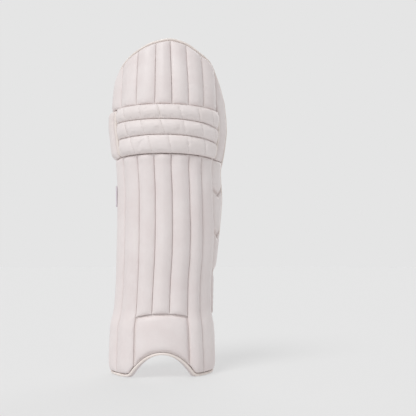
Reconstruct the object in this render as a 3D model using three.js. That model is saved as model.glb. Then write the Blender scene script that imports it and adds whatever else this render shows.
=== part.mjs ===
// Cricket batting pad (leg guard) that stands upright on its two foot lobes.
// Millimetres, +Z up. The front faces -Y and the side wing is towards +X.
// Every padded piece lies on one curved carrier. A place on the carrier is an angle round the leg
// (degrees, 0 at the front, positive towards the wing), a height, and a depth outwards from its front face.

import * as THREE from 'three';

// Overall sizes
const padHeight = 690;
const shinRadius = 96;
const topLean = 28;
const carrierThickness = 9;

// Clearances between layers and between neighbours on one layer
const layerGap = 0.6;
const rollGap = 0.45;
const seamGap = 0.8;

// Padding
const seamThickness = 2.4;
const ribCrown = 10.5;
const topRibCrown = 8.5;
const instepCrown = 5;
const rollCrown = 9.5;
const rollSeamThickness = 9;
const rollEdgeShare = 0.7;
const flapCrown = 12.5;
const sidePanelCrown = 5;
const wingCrown = 8;
const bolsterCrown = 15;
const headBandCrown = 7;
const hemCrown = 3.5;
const kneePadCrown = 9;
const backPanelCrown = 8;
const liningCrown = 1.6;
const endRounding = 12;
const instepRounding = 9;
const footLiningCrown = 3.2;

// Edge roll, and the two rolls at the ends of the knee rolls
const pipingRadius = 2.6;
const endPipingRadius = 3;
const rollSides = 6;

// Foot: an arch between two lobes
const archHeight = 46;
const archHalfAngle = 36;
const lobeFlatAngle = 71;
const lobeCornerRise = 40;
const instepDroop = 10;

// Straps
const strapThickness = 2.5;
const kneeStrapWidth = 27;
const calfStrapWidth = 53;
const ankleStrapWidth = 60;
const strapBow = 6;
const kneeStrapEndMargin = 0.5;
const landingMargin = 3;

// How far the bow of a strap reaches, as shares of shinRadius: its middle and half its length
const bowMiddle = 0.1;
const bowReach = 1.05;

// Height of each band, as a share of the pad's height
const kneeStrapLevel = 0.705;
const kneeStrapEndDrop = 0.018;
const calfStrapLevel = 0.53;
const ankleStrapLevel = 0.243;
const instepTopLevel = 0.182;
const hemLowLevel = 0.168;
const hemHighLevel = 0.2;
const bolsterTopLevel = 0.652;
const headBandTopLevel = 0.689;
const kneePadTopLevel = 0.796;

// The carrier's section at each level. height is a share of padHeight, radius and centre are shares
// of shinRadius, setback is a share of topLean. Beyond leftBend and rightBend the wall runs straight
// on, up to leftEdge and rightEdge.
const leftBend = 80;
const sections = [
  { height: 0, radius: 1.093, centre: 0.005, setback: 0, rightBend: 80, leftEdge: -84, rightEdge: 84 },
  { height: 0.136, radius: 1.06, centre: 0.008, setback: 0, rightBend: 79, leftEdge: -86, rightEdge: 85 },
  { height: 0.196, radius: 0.985, centre: 0.023, setback: 0, rightBend: 77, leftEdge: -88, rightEdge: 86 },
  { height: 0.275, radius: 0.975, centre: 0.049, setback: 0, rightBend: 74, leftEdge: -90, rightEdge: 87 },
  { height: 0.355, radius: 0.998, centre: 0.085, setback: 0, rightBend: 70, leftEdge: -92, rightEdge: 93 },
  { height: 0.435, radius: 1.006, centre: 0.1, setback: 0, rightBend: 66, leftEdge: -92, rightEdge: 98 },
  { height: 0.53, radius: 1, centre: 0.1, setback: 0, rightBend: 62, leftEdge: -92, rightEdge: 101 },
  { height: 0.612, radius: 1.011, centre: 0.081, setback: 0.028, rightBend: 62, leftEdge: -92, rightEdge: 98 },
  { height: 0.646, radius: 1.053, centre: 0.08, setback: 0.081, rightBend: 62, leftEdge: -92, rightEdge: 98 },
  { height: 0.7, radius: 1.111, centre: 0.075, setback: 0.186, rightBend: 62, leftEdge: -90, rightEdge: 98 },
  { height: 0.746, radius: 1.141, centre: 0.065, setback: 0.268, rightBend: 62, leftEdge: -88, rightEdge: 99 },
  { height: 0.79, radius: 1.144, centre: 0.068, setback: 0.334, rightBend: 62, leftEdge: -86, rightEdge: 96 },
  { height: 0.83, radius: 1.141, centre: 0.076, setback: 0.405, rightBend: 62, leftEdge: -85, rightEdge: 92 },
  { height: 1, radius: 1.065, centre: 0.096, setback: 1, rightBend: 62, leftEdge: -85, rightEdge: 92 },
];

// Top outline: angle across the pad and height as a share of padHeight
const topOutline = [
  { angle: -85, height: 0.83 },
  { angle: -74, height: 0.893 },
  { angle: -64, height: 0.924 },
  { angle: -51, height: 0.948 },
  { angle: -37, height: 0.968 },
  { angle: -17, height: 0.99 },
  { angle: 3, height: 1 },
  { angle: 20, height: 0.991 },
  { angle: 38, height: 0.968 },
  { angle: 58, height: 0.944 },
  { angle: 78, height: 0.886 },
  { angle: 92, height: 0.828 },
];

// Creases between the front ribs, in degrees: at the knee and at the foot for the shin,
// at the knee and at the top outline for the top hat
const shinCreases = [
  { knee: -58, foot: -56 },
  { knee: -34.3, foot: -31 },
  { knee: -14, foot: -12 },
  { knee: 5, foot: 8.5 },
  { knee: 25.5, foot: 31 },
  { knee: 43, foot: 49.5 },
  { knee: 65, foot: 84 },
];
const topCreases = [
  { knee: -54, top: -57.5 },
  { knee: -32, top: -34 },
  { knee: -11.5, top: -13 },
  { knee: 6, top: 2.5 },
  { knee: 23.5, top: 20 },
  { knee: 42, top: 39.5 },
  { knee: 66, top: 62 },
];

// Knee rolls: heights of their four seams at the middle and how far each droops at its ends,
// as shares of padHeight
const kneeSeams = [
  { middle: 0.646, leftDroop: 0.003, rightDroop: 0.004 },
  { middle: 0.7, leftDroop: 0.007, rightDroop: 0.012 },
  { middle: 0.746, leftDroop: 0.002, rightDroop: 0.013 },
  { middle: 0.79, leftDroop: 0, rightDroop: 0.002 },
];
const rollNames = ['knee_roll_lower', 'knee_roll_middle', 'knee_roll_upper'];
const rollLeftEnd = -66;
const rollRightEnd = 66;
const flapStart = -71.5;
const flapPipingAngle = -68.8;
const endPiping = [
  { up: 0, angle: 69 },
  { up: 0.37, angle: 70.6 },
  { up: 0.68, angle: 71.2 },
  { up: 0.85, angle: 70.2 },
  { up: 1, angle: 68.8 },
];
const sidePanelStart = [
  { height: 0.6, angle: 74.5 },
  { height: 0.78, angle: 74.2 },
  { height: 0.819, angle: 68 },
  { height: 1, angle: 63.5 },
];

// Seams across the side wing, as shares of padHeight, and the dip of their chevrons
const wingSeams = [0.17, 0.313, 0.424, 0.551];
const wingSeamDip = 0.02;

// Pieces on the carrier's inner face: their edges in degrees
const bolsters = [
  { name: 'bolster_inner', from: -78, to: -24.5 },
  { name: 'bolster_centre', from: -22, to: 20 },
  { name: 'bolster_outer', from: 22.5, to: 76 },
];
const footLinings = [
  { name: 'lobe_lining_inner', from: -72, to: -32 },
  { name: 'instep_lining', from: -29.5, to: 31 },
  { name: 'lobe_lining_outer', from: 33.5, to: 72 },
];
const kneeLinings = [
  { name: 'knee_lining_inner', from: -89, to: -28.5 },
  { name: 'knee_pad', from: -26.5, to: 22 },
  { name: 'knee_lining_outer', from: 24, to: 90 },
];
const backPanelEdges = { lowLeft: -26.5, lowRight: 22, highLeft: -43, highRight: 33 };
const topLiningSeam = 2;
const hemEdges = { from: -74, to: 74 };
const headBandEdges = { from: -84, to: 76 };

// Straps: where each end lies across the back, as a share of shinRadius from the leg's axis
const calfStrapEnd = -0.86;
const calfTabTip = -0.1;
const ankleStrapEnd = -0.64;
const ankleTabTip = -0.95;
const ankleLandingEnd = -0.52;
const kneeStrapJoin = -0.42;
const strapAnchor = [78.5, 84];

// The calf tab narrows to its tip: how much of its length the tip takes, and where its lower and upper
// edges lie at the tip and past it, as shares of the strap's width. onRib is how far up the crown of
// the first rib it lies.
const calfTabShape = { tip: 0.18, tipLow: 0.65, tipHigh: 0.72, low: 0.1, high: 0.92, onRib: 0.62 };
const calfTabReach = 7;
const rimClearance = 2.5;

// The ankle tab is rounded: its half width as a share of the strap's, and how blunt its end is
const ankleTabShape = { half: 0.475, blunt: 1.6 };

const leather = { color: 0xe6dfd8, roughness: 0.55, metalness: 0 };
const rollLeather = { color: 0xdad4cf, roughness: 0.55, metalness: 0 };
const pipingLeather = { color: 0xd6c9c0, roughness: 0.5, metalness: 0 };
const lining = { color: 0xe0d8e2, roughness: 0.9, metalness: 0 };
const meshLining = { color: 0xe6e0ea, roughness: 0.95, metalness: 0 };
const elastic = { color: 0xe3d6d6, roughness: 0.85, metalness: 0 };
const hookTape = { color: 0xddd4de, roughness: 0.8, metalness: 0 };

const pad = new THREE.Group();
const degree = Math.PI / 180;

function mix(a, b, share) {
  return a + (b - a) * share;
}

function clamp(value, low, high) {
  return Math.min(Math.max(value, low), high);
}

// The two rows of a table around a value, and how far the value is between them
function bracket(table, key, value) {
  let index = 0;
  while (index < table.length - 2 && value > table[index + 1][key]) index += 1;
  const low = table[index];
  const high = table[index + 1];
  return { low, high, share: clamp((value - low[key]) / (high[key] - low[key]), 0, 1) };
}

function tableValue(table, key, column, value) {
  const { low, high, share } = bracket(table, key, value);
  return mix(low[column], high[column], share);
}

// A point of one section: round the bend at its radius, then straight on along the tangent
function sectionPoint(row, angle, depth) {
  const radius = row.radius * shinRadius;
  const bend = clamp(angle, -leftBend, row.rightBend);
  const straight = (angle - bend) * degree * radius;
  const sine = Math.sin(bend * degree);
  const cosine = Math.cos(bend * degree);
  const x = row.centre * shinRadius + (radius + depth) * sine + straight * cosine;
  const y = row.setback * topLean - (radius + depth) * cosine + straight * sine;
  return new THREE.Vector3(x, y, 0);
}

// A point of the carrier: straight between the sections above and below it
function surfacePoint(angle, z, depth) {
  const { low, high, share } = bracket(sections, 'height', z / padHeight);
  const point = sectionPoint(low, angle, depth).lerp(sectionPoint(high, angle, depth), share);
  return point.setZ(z);
}

function leftEdge(z) {
  return tableValue(sections, 'height', 'leftEdge', z / padHeight);
}

function rightEdge(z) {
  return tableValue(sections, 'height', 'rightEdge', z / padHeight);
}

function degreesFor(length) {
  return length / shinRadius / degree;
}

function topEdge(angle) {
  return tableValue(topOutline, 'angle', 'height', angle) * padHeight;
}

// Foot outline: a parabola over the arch, flat lobes, and outer corners that curve up
function footEdge(angle) {
  const away = Math.abs(angle);
  if (away < archHalfAngle) return archHeight * (1 - (away / archHalfAngle) ** 2);
  const past = Math.max(0, away - lobeFlatAngle) / (Math.abs(sections[0].leftEdge) - lobeFlatAngle);
  return lobeCornerRise * Math.min(past, 1) ** 2;
}

// A line moved inwards by a distance square to itself; side is 1 above a lower line, -1 below an upper one
function insetLine(line, distance, side) {
  const step = 1.5;
  return (angle) => {
    const slope = (line(angle + step) - line(angle - step)) / (2 * step * degree * shinRadius);
    return line(angle) + side * distance * Math.hypot(1, slope);
  };
}

function instepTop(angle) {
  return padHeight * instepTopLevel - instepDroop * (angle / archHalfAngle) ** 2;
}

function kneeSeam(index, angle) {
  const seam = kneeSeams[index];
  const droop = angle < 0 ? seam.leftDroop : seam.rightDroop;
  return padHeight * (seam.middle - droop * (angle / rollRightEnd) ** 2);
}

function kneeBottom(angle) {
  return kneeSeam(0, angle);
}

function kneeTop(angle) {
  return kneeSeam(kneeSeams.length - 1, angle);
}

function crease(table, index, share, far) {
  return mix(table[index][far], table[index].knee, share);
}

function shinCrease(index, z) {
  return crease(shinCreases, index, clamp(z / kneeBottom(0), 0, 1), 'foot');
}

function topCrease(index, z) {
  return crease(topCreases, index, clamp((padHeight - z) / (padHeight - kneeTop(0)), 0, 1), 'top');
}

// A closed body through loops of points. The first faceCount points of a loop are its face and the
// rest its back, so the ends are closed by joining face to back.
function loft(loops, faceCount, ring = false) {
  const size = loops[0].length;
  const positions = loops.flat().flatMap((point) => [point.x, point.y, point.z]);
  const index = [];
  const bands = ring ? loops.length : loops.length - 1;
  for (let i = 0; i < bands; i += 1) {
    const here = i * size;
    const next = ((i + 1) % loops.length) * size;
    for (let k = 0; k < size; k += 1) {
      const after = (k + 1) % size;
      index.push(here + k, here + after, next + after, here + k, next + after, next + k);
    }
  }
  if (!ring) {
    index.push(...endTriangles(size, faceCount, 0, true));
    index.push(...endTriangles(size, faceCount, (loops.length - 1) * size, false));
  }
  return outwardGeometry(positions, index);
}

function endTriangles(size, faceCount, start, flip) {
  const triangles = [];
  const backCount = size - faceCount;
  let face = 0;
  let back = 0;
  while (face < faceCount - 1 || back < backCount - 1) {
    const faceShare = (face + 1) / (faceCount - 1);
    const backShare = (back + 1) / (backCount - 1);
    const onFace = back === backCount - 1 || (face < faceCount - 1 && faceShare <= backShare);
    const a = start + face;
    const b = start + size - 1 - back;
    const c = onFace ? a + 1 : b - 1;
    triangles.push(...(flip ? [a, b, c] : [a, c, b]));
    if (onFace) face += 1;
    else back += 1;
  }
  return triangles;
}

// Turns the triangles round if the body they enclose comes out negative
function outwardGeometry(positions, index) {
  const corner = (i) => new THREE.Vector3(...positions.slice(3 * i, 3 * i + 3));
  let volume = 0;
  for (let i = 0; i < index.length; i += 3) {
    volume += corner(index[i]).dot(corner(index[i + 1]).cross(corner(index[i + 2])));
  }
  const geometry = new THREE.BufferGeometry();
  geometry.setAttribute('position', new THREE.Float32BufferAttribute(positions, 3));
  geometry.setIndex(volume < 0 ? index.toReversed() : index);
  geometry.computeVertexNormals();
  return geometry;
}

function add(name, geometry, finish) {
  const mesh = new THREE.Mesh(geometry, new THREE.MeshStandardMaterial(finish));
  mesh.name = name;
  pad.add(mesh);
}

// The depth of the layer that a piece is seated on: the carrier's front face or its inner face
function seatDepth(side) {
  return side > 0 ? layerGap : -(carrierThickness + layerGap);
}

// Level heights of the carrier's sections that lie between two heights
function levelsBetween(low, high) {
  return sections.map((row) => row.height * padHeight).filter((z) => z > low && z < high);
}

// A padded piece. Each row gives its edges in degrees (left, right), the height for an angle (at)
// and how much of the crown stands there (full).
function padding({ rows, crown, across = 6, back = 2, side = 1, roundness = 0.6, lift = 0 }) {
  const seat = seatDepth(side) + side * lift;
  const loops = rows.map((row) => {
    const face = [];
    const rear = [];
    for (let i = 0; i <= across; i += 1) {
      const angle = mix(row.left, row.right, i / across);
      const swell = Math.sin((Math.PI * i) / across) ** roundness;
      const depth = seat + side * (seamThickness + crown * row.full * Math.max(swell, 0));
      face.push(surfacePoint(angle, row.at(angle), depth));
    }
    for (let i = back; i >= 0; i -= 1) {
      const angle = mix(row.left, row.right, i / back);
      rear.push(surfacePoint(angle, row.at(angle), seat));
    }
    return [...face, ...rear];
  });
  return loft(loops, across + 1);
}

// Rows of a piece between a lower and an upper line, with a row at each section level in between
// and a short rounded end at each line
function rowsBetween({ low, high, lowLevel, highLevel, left, right, endLength = endRounding, endFull = 0.35 }) {
  const row = (level, at, full) => ({ left: left(level), right: right(level), at, full });
  const inner = levelsBetween(lowLevel + endLength * 1.5, highLevel - endLength * 1.5);
  return [
    row(lowLevel, low, endFull),
    row(lowLevel + endLength, (angle) => low(angle) + endLength, 1),
    ...inner.map((z) => row(z, () => z, 1)),
    row(highLevel - endLength, (angle) => high(angle) - endLength, 1),
    row(highLevel, high, endFull),
  ];
}

const bindingWidth = 2 * pipingRadius + layerGap + 2 * seamGap;
const bindingAngle = degreesFor(bindingWidth);
const seamAngle = degreesFor(seamGap) / 2;

function carrierShell() {
  const inside = [-71, -62, -53.5, -45, -36, -27, -18, -9, 0, 9, 18, 27, 36, 45, 53.5, 62, 71];
  const levels = levelsBetween(archHeight, padHeight - seamGap);
  const columns = (level) => [leftEdge(level), -leftBend, ...inside, leftBend, rightEdge(level)];
  const loopAt = (level, at) => {
    const face = columns(level).map((angle) => surfacePoint(angle, at(angle), 0));
    const back = columns(level).map((angle) => surfacePoint(angle, at(angle), -carrierThickness));
    return [...face, ...back.reverse()];
  };
  const loops = [
    loopAt(0, footEdge),
    ...levels.map((level) => loopAt(level, () => level)),
    loopAt(padHeight, topEdge),
  ];
  return loft(loops, loops[0].length / 2);
}

// The edge roll follows the whole outline on the carrier's front face, just inside its rim
function edgePiping() {
  const inset = pipingRadius + layerGap;
  const insetAngle = degreesFor(inset);
  const route = [];
  const along = (from, to, count, place) => {
    for (let i = 0; i < count; i += 1) route.push(place(mix(from, to, i / count)));
  };
  const low = insetLine(footEdge, inset, 1);
  const high = insetLine(topEdge, inset, -1);
  const leftFoot = leftEdge(0) + insetAngle;
  const rightFoot = rightEdge(0) - insetAngle;
  const leftTop = leftEdge(padHeight) + insetAngle;
  const rightTop = rightEdge(padHeight) - insetAngle;
  const stops = levelsBetween(low(leftFoot), high(leftTop));
  const left = [low(leftFoot), ...stops];
  left.forEach((z, i) => {
    along(z, left[i + 1] ?? high(leftTop), 2, (at) => [leftEdge(at) + insetAngle, at]);
  });
  along(leftTop, rightTop, 30, (angle) => [angle, high(angle)]);
  const right = [high(rightTop), ...levelsBetween(low(rightFoot), high(rightTop)).reverse()];
  right.forEach((z, i) => {
    along(z, right[i + 1] ?? low(rightFoot), 2, (at) => [rightEdge(at) - insetAngle, at]);
  });
  along(rightFoot, leftFoot, 42, (angle) => [angle, low(angle)]);
  return roll(route, pipingRadius, true);
}

// A round roll with its flat side on the carrier, along a route of angle and height
function roll(route, radius, ring = false) {
  const depth = rollGap + radius * Math.cos(Math.PI / rollSides);
  const points = route.map(([angle, z]) => surfacePoint(angle, z, depth));
  const loops = points.map((point, i) => {
    const last = points.length - 1;
    const before = points[i === 0 ? (ring ? last : 0) : i - 1];
    const after = points[i === last ? (ring ? 0 : last) : i + 1];
    const forward = after.clone().sub(before).normalize();
    const outward = surfacePoint(route[i][0], route[i][1], depth + radius).sub(point).normalize();
    const sideways = forward.clone().cross(outward).normalize();
    const normal = sideways.clone().cross(forward);
    return Array.from({ length: rollSides }, (_, k) => {
      const turn = ((k + 0.5) * 2 * Math.PI) / rollSides;
      const offset = normal.clone().multiplyScalar(Math.cos(turn) * radius);
      return point.clone().add(offset).addScaledVector(sideways, Math.sin(turn) * radius);
    });
  });
  return loft(loops, rollSides / 2, ring);
}

function shinRibs() {
  const count = shinCreases.length;
  for (let i = 0; i < count; i += 1) {
    const reachesFoot = i < 2 || i > 4;
    const low = reachesFoot
      ? insetLine(footEdge, bindingWidth + seamGap, 1)
      : (angle) => instepTop(angle) + seamGap;
    const lastEdge = (z) => rightEdge(z) - bindingAngle;
    const left = (z) => (i === 0 ? leftEdge(z) + bindingAngle : shinCrease(i - 1, z) + seamAngle);
    const right = (z) => Math.min(shinCrease(i, z) - seamAngle, lastEdge(z));
    const rows = rowsBetween({
      low,
      high: (angle) => kneeBottom(angle) - seamGap,
      lowLevel: reachesFoot ? archHeight : instepTop(0),
      highLevel: kneeBottom(0),
      left,
      right,
    });
    add(`shin_rib_${i + 1}`, padding({ rows, crown: ribCrown, back: 3 }), leather);
  }
}

function instepPanel() {
  const left = (z) => shinCrease(1, z) + seamAngle;
  const right = (z) => shinCrease(4, z) - seamAngle;
  const rows = rowsBetween({
    low: insetLine(footEdge, bindingWidth, 1),
    high: instepTop,
    lowLevel: archHeight,
    highLevel: instepTop(0),
    left,
    right,
    endLength: instepRounding,
  });
  return padding({ rows, crown: instepCrown, across: 8, back: 8, roundness: 0.35 });
}

// One knee roll: a bolster that lies across the pad between two seams
function kneeRoll(index) {
  const steps = 15;
  const sides = 6;
  const loops = [];
  for (let i = 0; i <= steps; i += 1) {
    const angle = mix(rollLeftEnd, rollRightEnd, i / steps);
    const low = kneeSeam(index, angle) + seamGap / 2;
    const high = kneeSeam(index + 1, angle) - seamGap / 2;
    const full = i === 0 || i === steps ? 0.6 : 1;
    const face = [];
    for (let k = 0; k <= sides; k += 1) {
      const swell = Math.max(Math.sin((Math.PI * k) / sides), 0) ** 0.6;
      const base = rollSeamThickness * (k % sides ? 1 : rollEdgeShare);
      const depth = layerGap + base + rollCrown * full * swell;
      face.push(surfacePoint(angle, mix(low, high, k / sides), depth));
    }
    const back = [high, low].map((z) => surfacePoint(angle, z, layerGap));
    loops.push([...face, ...back]);
  }
  return loft(loops, sides + 1);
}

function kneeFlap() {
  const left = (z) => leftEdge(z) + bindingAngle;
  const rows = rowsBetween({
    low: kneeBottom,
    high: kneeTop,
    lowLevel: kneeBottom(0),
    highLevel: kneeTop(0),
    left,
    right: () => flapStart,
    endFull: 0.7,
  });
  return padding({ rows, crown: flapCrown, across: 6, back: 3, roundness: 0.4 });
}

function kneeEndRolls() {
  const low = (angle) => kneeBottom(angle) + endPipingRadius;
  const high = (angle) => kneeTop(angle) - endPipingRadius;
  const outer = endPiping.map(({ up, angle }) => [angle, mix(low(angle), high(angle), up)]);
  const ends = [low(flapPipingAngle), high(flapPipingAngle)];
  const inner = [ends[0], ...levelsBetween(...ends), ends[1]].map((z) => [flapPipingAngle, z]);
  add('knee_roll_end_piping', roll(outer, endPipingRadius), pipingLeather);
  add('knee_flap_piping', roll(inner, pipingRadius), pipingLeather);
}

function topRibs() {
  for (let i = 0; i < topCreases.length; i += 1) {
    const left = (z) => (i === 0 ? leftEdge(z) + bindingAngle : topCrease(i - 1, z) + seamAngle);
    const right = (z) => topCrease(i, z) - seamAngle;
    const low = (angle) => kneeTop(angle) + seamGap;
    const high = insetLine(topEdge, bindingWidth, -1);
    const kink = sections[sections.length - 2].height * padHeight;
    const place = (level, at, full) => ({ left: left(level), right: right(level), at, full });
    const upper = (share) => (angle) => mix(kink, high(angle), share);
    const rows = [
      place(kneeTop(0), low, 0.5),
      place(kink, () => kink, 0.9),
      place(mix(kink, padHeight, 0.4), upper(0.4), 1),
      place(mix(kink, padHeight, 0.85), upper(0.85), 0.9),
      place(padHeight, upper(1), 0.3),
    ];
    add(`top_rib_${i + 1}`, padding({ rows, crown: topRibCrown, back: 3 }), leather);
  }
}

function outerSidePanel() {
  const kink = sections[sections.length - 2].height * padHeight;
  const high = insetLine(topEdge, bindingWidth, -1);
  const left = (z) => tableValue(sidePanelStart, 'height', 'angle', z / padHeight) + seamAngle;
  const right = (z) => rightEdge(z) - bindingAngle;
  const bottom = kneeBottom(rollRightEnd);
  const place = (level, at, full) => ({ left: left(level), right: right(level), at, full });
  const upper = (share) => (angle) => mix(kink, high(angle), share);
  const rows = [
    place(bottom, () => bottom, 0.4),
    place(bottom + endRounding, () => bottom + endRounding, 1),
    ...levelsBetween(bottom + endRounding, kink).map((z) => place(z, () => z, 1)),
    place(kink, () => kink, 1),
    place(mix(kink, padHeight, 0.5), upper(0.5), 0.9),
    place(padHeight, upper(1), 0.3),
  ];
  return padding({ rows, crown: sidePanelCrown, across: 5, back: 3, roundness: 0.5 });
}

// The side wing: padded segments between chevron seams
function wingSegments() {
  const left = (z) => shinCrease(6, z) + seamAngle;
  const right = (z) => rightEdge(z) - bindingAngle;
  const top = kneeBottom(rollRightEnd) / padHeight;
  const seams = [...wingSeams, top];
  for (let i = 0; i < seams.length - 1; i += 1) {
    const lowLevel = seams[i] * padHeight;
    const highLevel = seams[i + 1] * padHeight;
    const chevron = (level, dip) => (angle) => {
      const share = (angle - left(level)) / (right(level) - left(level));
      return level - dip * padHeight * (1 - Math.abs(2 * share - 1));
    };
    const topDip = i === seams.length - 2 ? 0 : wingSeamDip;
    const rows = rowsBetween({
      low: chevron(lowLevel, i === 0 ? 0 : wingSeamDip),
      high: (angle) => chevron(highLevel, topDip)(angle) - seamGap,
      lowLevel,
      highLevel,
      left,
      right,
      endFull: 0.3,
    });
    const shape = padding({ rows, crown: wingCrown, back: 4, lift: layerGap / 2 });
    add(`wing_segment_${seams.length - 1 - i}`, shape, rollLeather);
  }
}

// Pieces on the inner face
function innerPiece({ from, to, low, high, lowLevel, highLevel, crown, roundness = 0.5 }) {
  const margin = degreesFor(seamGap + pipingRadius);
  const rows = rowsBetween({
    low,
    high,
    lowLevel,
    highLevel,
    left: (z) => Math.max(from, leftEdge(z) + margin),
    right: (z) => Math.min(to, rightEdge(z) - margin),
  });
  return padding({ rows, crown, across: 8, back: 6, side: -1, roundness });
}

function innerPieces() {
  const level = (share) => share * padHeight;
  const flat = (share, shift = 0) => () => level(share) + shift;
  for (const { name, from, to } of bolsters) {
    const shape = innerPiece({
      from,
      to,
      low: flat(hemHighLevel, seamGap),
      high: flat(bolsterTopLevel, -seamGap),
      lowLevel: level(hemHighLevel),
      highLevel: level(bolsterTopLevel),
      crown: bolsterCrown,
    });
    add(name, shape, meshLining);
  }
  for (const { name, from, to } of footLinings) {
    const shape = innerPiece({
      from,
      to,
      low: insetLine(footEdge, seamGap + pipingRadius, 1),
      high: flat(hemLowLevel, -seamGap),
      lowLevel: archHeight,
      highLevel: level(hemLowLevel),
      crown: footLiningCrown,
      roundness: 0.3,
    });
    add(name, shape, lining);
  }
  for (const { name, from, to } of kneeLinings) {
    const isPad = name === 'knee_pad';
    const shape = innerPiece({
      from,
      to,
      low: flat(headBandTopLevel, seamGap),
      high: flat(kneePadTopLevel, -seamGap),
      lowLevel: level(headBandTopLevel),
      highLevel: level(kneePadTopLevel),
      crown: isPad ? kneePadCrown : liningCrown,
      roundness: isPad ? 0.4 : 0.3,
    });
    add(name, shape, meshLining);
  }
}

// Narrow bands that lie across the inner face: the hem under the bolsters and the band over them
function innerBand([low, high], { from, to }, crown) {
  const steps = 16;
  const seat = seatDepth(-1);
  const loops = [];
  for (let i = 0; i <= steps; i += 1) {
    const angle = mix(from, to, i / steps);
    const zs = [low, mix(low, high, 0.3), mix(low, high, 0.7), high];
    const swell = [0.35, 1, 1, 0.35];
    const face = zs.map((z, k) => surfacePoint(angle, z, seat - seamThickness - crown * swell[k]));
    const back = [high, low].map((z) => surfacePoint(angle, z, seat));
    loops.push([...face, ...back]);
  }
  return loft(loops, 4);
}

// The padded panel inside the top hat, wider at its top, with a lining on each side of it
function topBack() {
  const { lowLeft, lowRight, highLeft, highRight } = backPanelEdges;
  const bottom = kneePadTopLevel * padHeight;
  const kink = sections[sections.length - 2].height * padHeight;
  const roof = insetLine(topEdge, bindingWidth, -1);
  const share = (z) => clamp((z - bottom) / (padHeight - bottom), 0, 1);
  const left = (z) => mix(lowLeft, highLeft, share(z));
  const right = (z) => mix(lowRight, highRight, share(z));
  const margin = degreesFor(seamGap + pipingRadius);
  const gap = topLiningSeam / 2;
  const upper = (part, angle) => mix(kink, roof(angle), part);
  const build = (edges, crown, roundness, back) => {
    const place = (level, at, full) => ({ left: edges[0](level), right: edges[1](level), at, full });
    const rows = [
      place(bottom, () => bottom, 0.8),
      place(kink, () => kink, 1),
      place(mix(kink, padHeight, 0.45), (angle) => upper(0.45, angle), 1),
      place(mix(kink, padHeight, 0.9), (angle) => upper(0.9, angle), 0.9),
      place(padHeight, (angle) => upper(1, angle), 0.3),
    ];
    return padding({ rows, crown, across: 8, back, side: -1, roundness });
  };
  add('top_back_panel', build([left, right], backPanelCrown, 0.35, 6), lining);
  const innerEdges = [(z) => leftEdge(z) + margin, (z) => left(z) - gap];
  const outerEdges = [(z) => right(z) + gap, (z) => rightEdge(z) - margin];
  add('top_lining_inner', build(innerEdges, liningCrown, 0.3, 6), lining);
  add('top_lining_outer', build(outerEdges, liningCrown, 0.3, 6), lining);
}

// A strap: a band of webbing between two routes, one along its lower and one along its upper edge.
// edges gives, at a share of the route, how far up between the two routes the band starts and ends.
function webbing(routeAt, [lowLevel, highLevel], edges = () => [0, 1]) {
  const lower = new THREE.CatmullRomCurve3(routeAt(lowLevel), false, 'centripetal');
  const upper = new THREE.CatmullRomCurve3(routeAt(highLevel), false, 'centripetal');
  const steps = 3 * (lower.points.length - 1);
  const loops = [];
  for (let i = 0; i <= steps; i += 1) {
    const share = i / steps;
    const forward = lower.getTangent(share).add(upper.getTangent(share));
    const across = new THREE.Vector3(forward.y, -forward.x, 0).setLength(strapThickness / 2);
    const [low, high] = edges(share);
    const corner = (side, up) =>
      lower.getPoint(share).lerp(upper.getPoint(share), up).addScaledVector(across, side);
    loops.push([corner(1, high), corner(1, low), corner(-1, low), corner(-1, high)]);
  }
  return loft(loops, 2);
}

// Points across the open back at one height. layer 0 is the strap next to the leg and layer 1 the
// one that overlaps it from behind; across is a share of shinRadius from the leg's axis.
function acrossBack(z, layer, acrossShares) {
  const axis = surfacePoint(0, z, 0).x;
  const rimY = surfacePoint(leftEdge(z), z, -carrierThickness).y;
  const base = rimY - strapThickness / 2 + layer * (strapThickness + layerGap);
  return acrossShares.map((across) => {
    const bow = strapBow * (1 - ((across - bowMiddle) / bowReach) ** 2);
    return new THREE.Vector3(axis + across * shinRadius, base + Math.max(bow, 0), z);
  });
}

// The sewn end of a strap on the inner face, over a lining of the thickness given
function anchorPoints(z, angles, padding = 0) {
  const depth = seatDepth(-1) - padding - layerGap - strapThickness / 2;
  return angles.map((angle) => surfacePoint(angle, z, depth));
}

function bandLevels(level, width) {
  return [level * padHeight - width / 2, level * padHeight + width / 2];
}

function calfStrap() {
  const levels = bandLevels(calfStrapLevel, calfStrapWidth);
  const reach = [0.85, 0.6, 0.2, -0.2, -0.6, calfStrapEnd];
  const route = (z) => [...anchorPoints(z, strapAnchor), ...acrossBack(z, 0, reach)];
  add('calf_strap', webbing(route, levels), elastic);
  const outside = 2 * pipingRadius + 3 * layerGap + strapThickness / 2;
  const over = seamThickness + ribCrown * calfTabShape.onRib + 2 * layerGap + strapThickness / 2;
  const tabRoute = (z) => {
    const edge = leftEdge(z);
    return [
      ...acrossBack(z, 1, [calfTabTip, -0.4, -0.7, -0.92]),
      surfacePoint(edge - degreesFor(rimClearance + strapThickness / 2), z, outside * 0.4),
      surfacePoint(edge, z, outside),
      surfacePoint(edge + bindingAngle, z, over),
      surfacePoint(edge + bindingAngle + calfTabReach, z, over + rimClearance),
    ];
  };
  const tab = (share) => {
    const { tip, tipLow, tipHigh, low, high } = calfTabShape;
    const past = clamp(share / tip, 0, 1);
    return [mix(tipLow, low, past), mix(tipHigh, high, past)];
  };
  add('calf_tab', webbing(tabRoute, levels, tab), hookTape);
}

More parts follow.
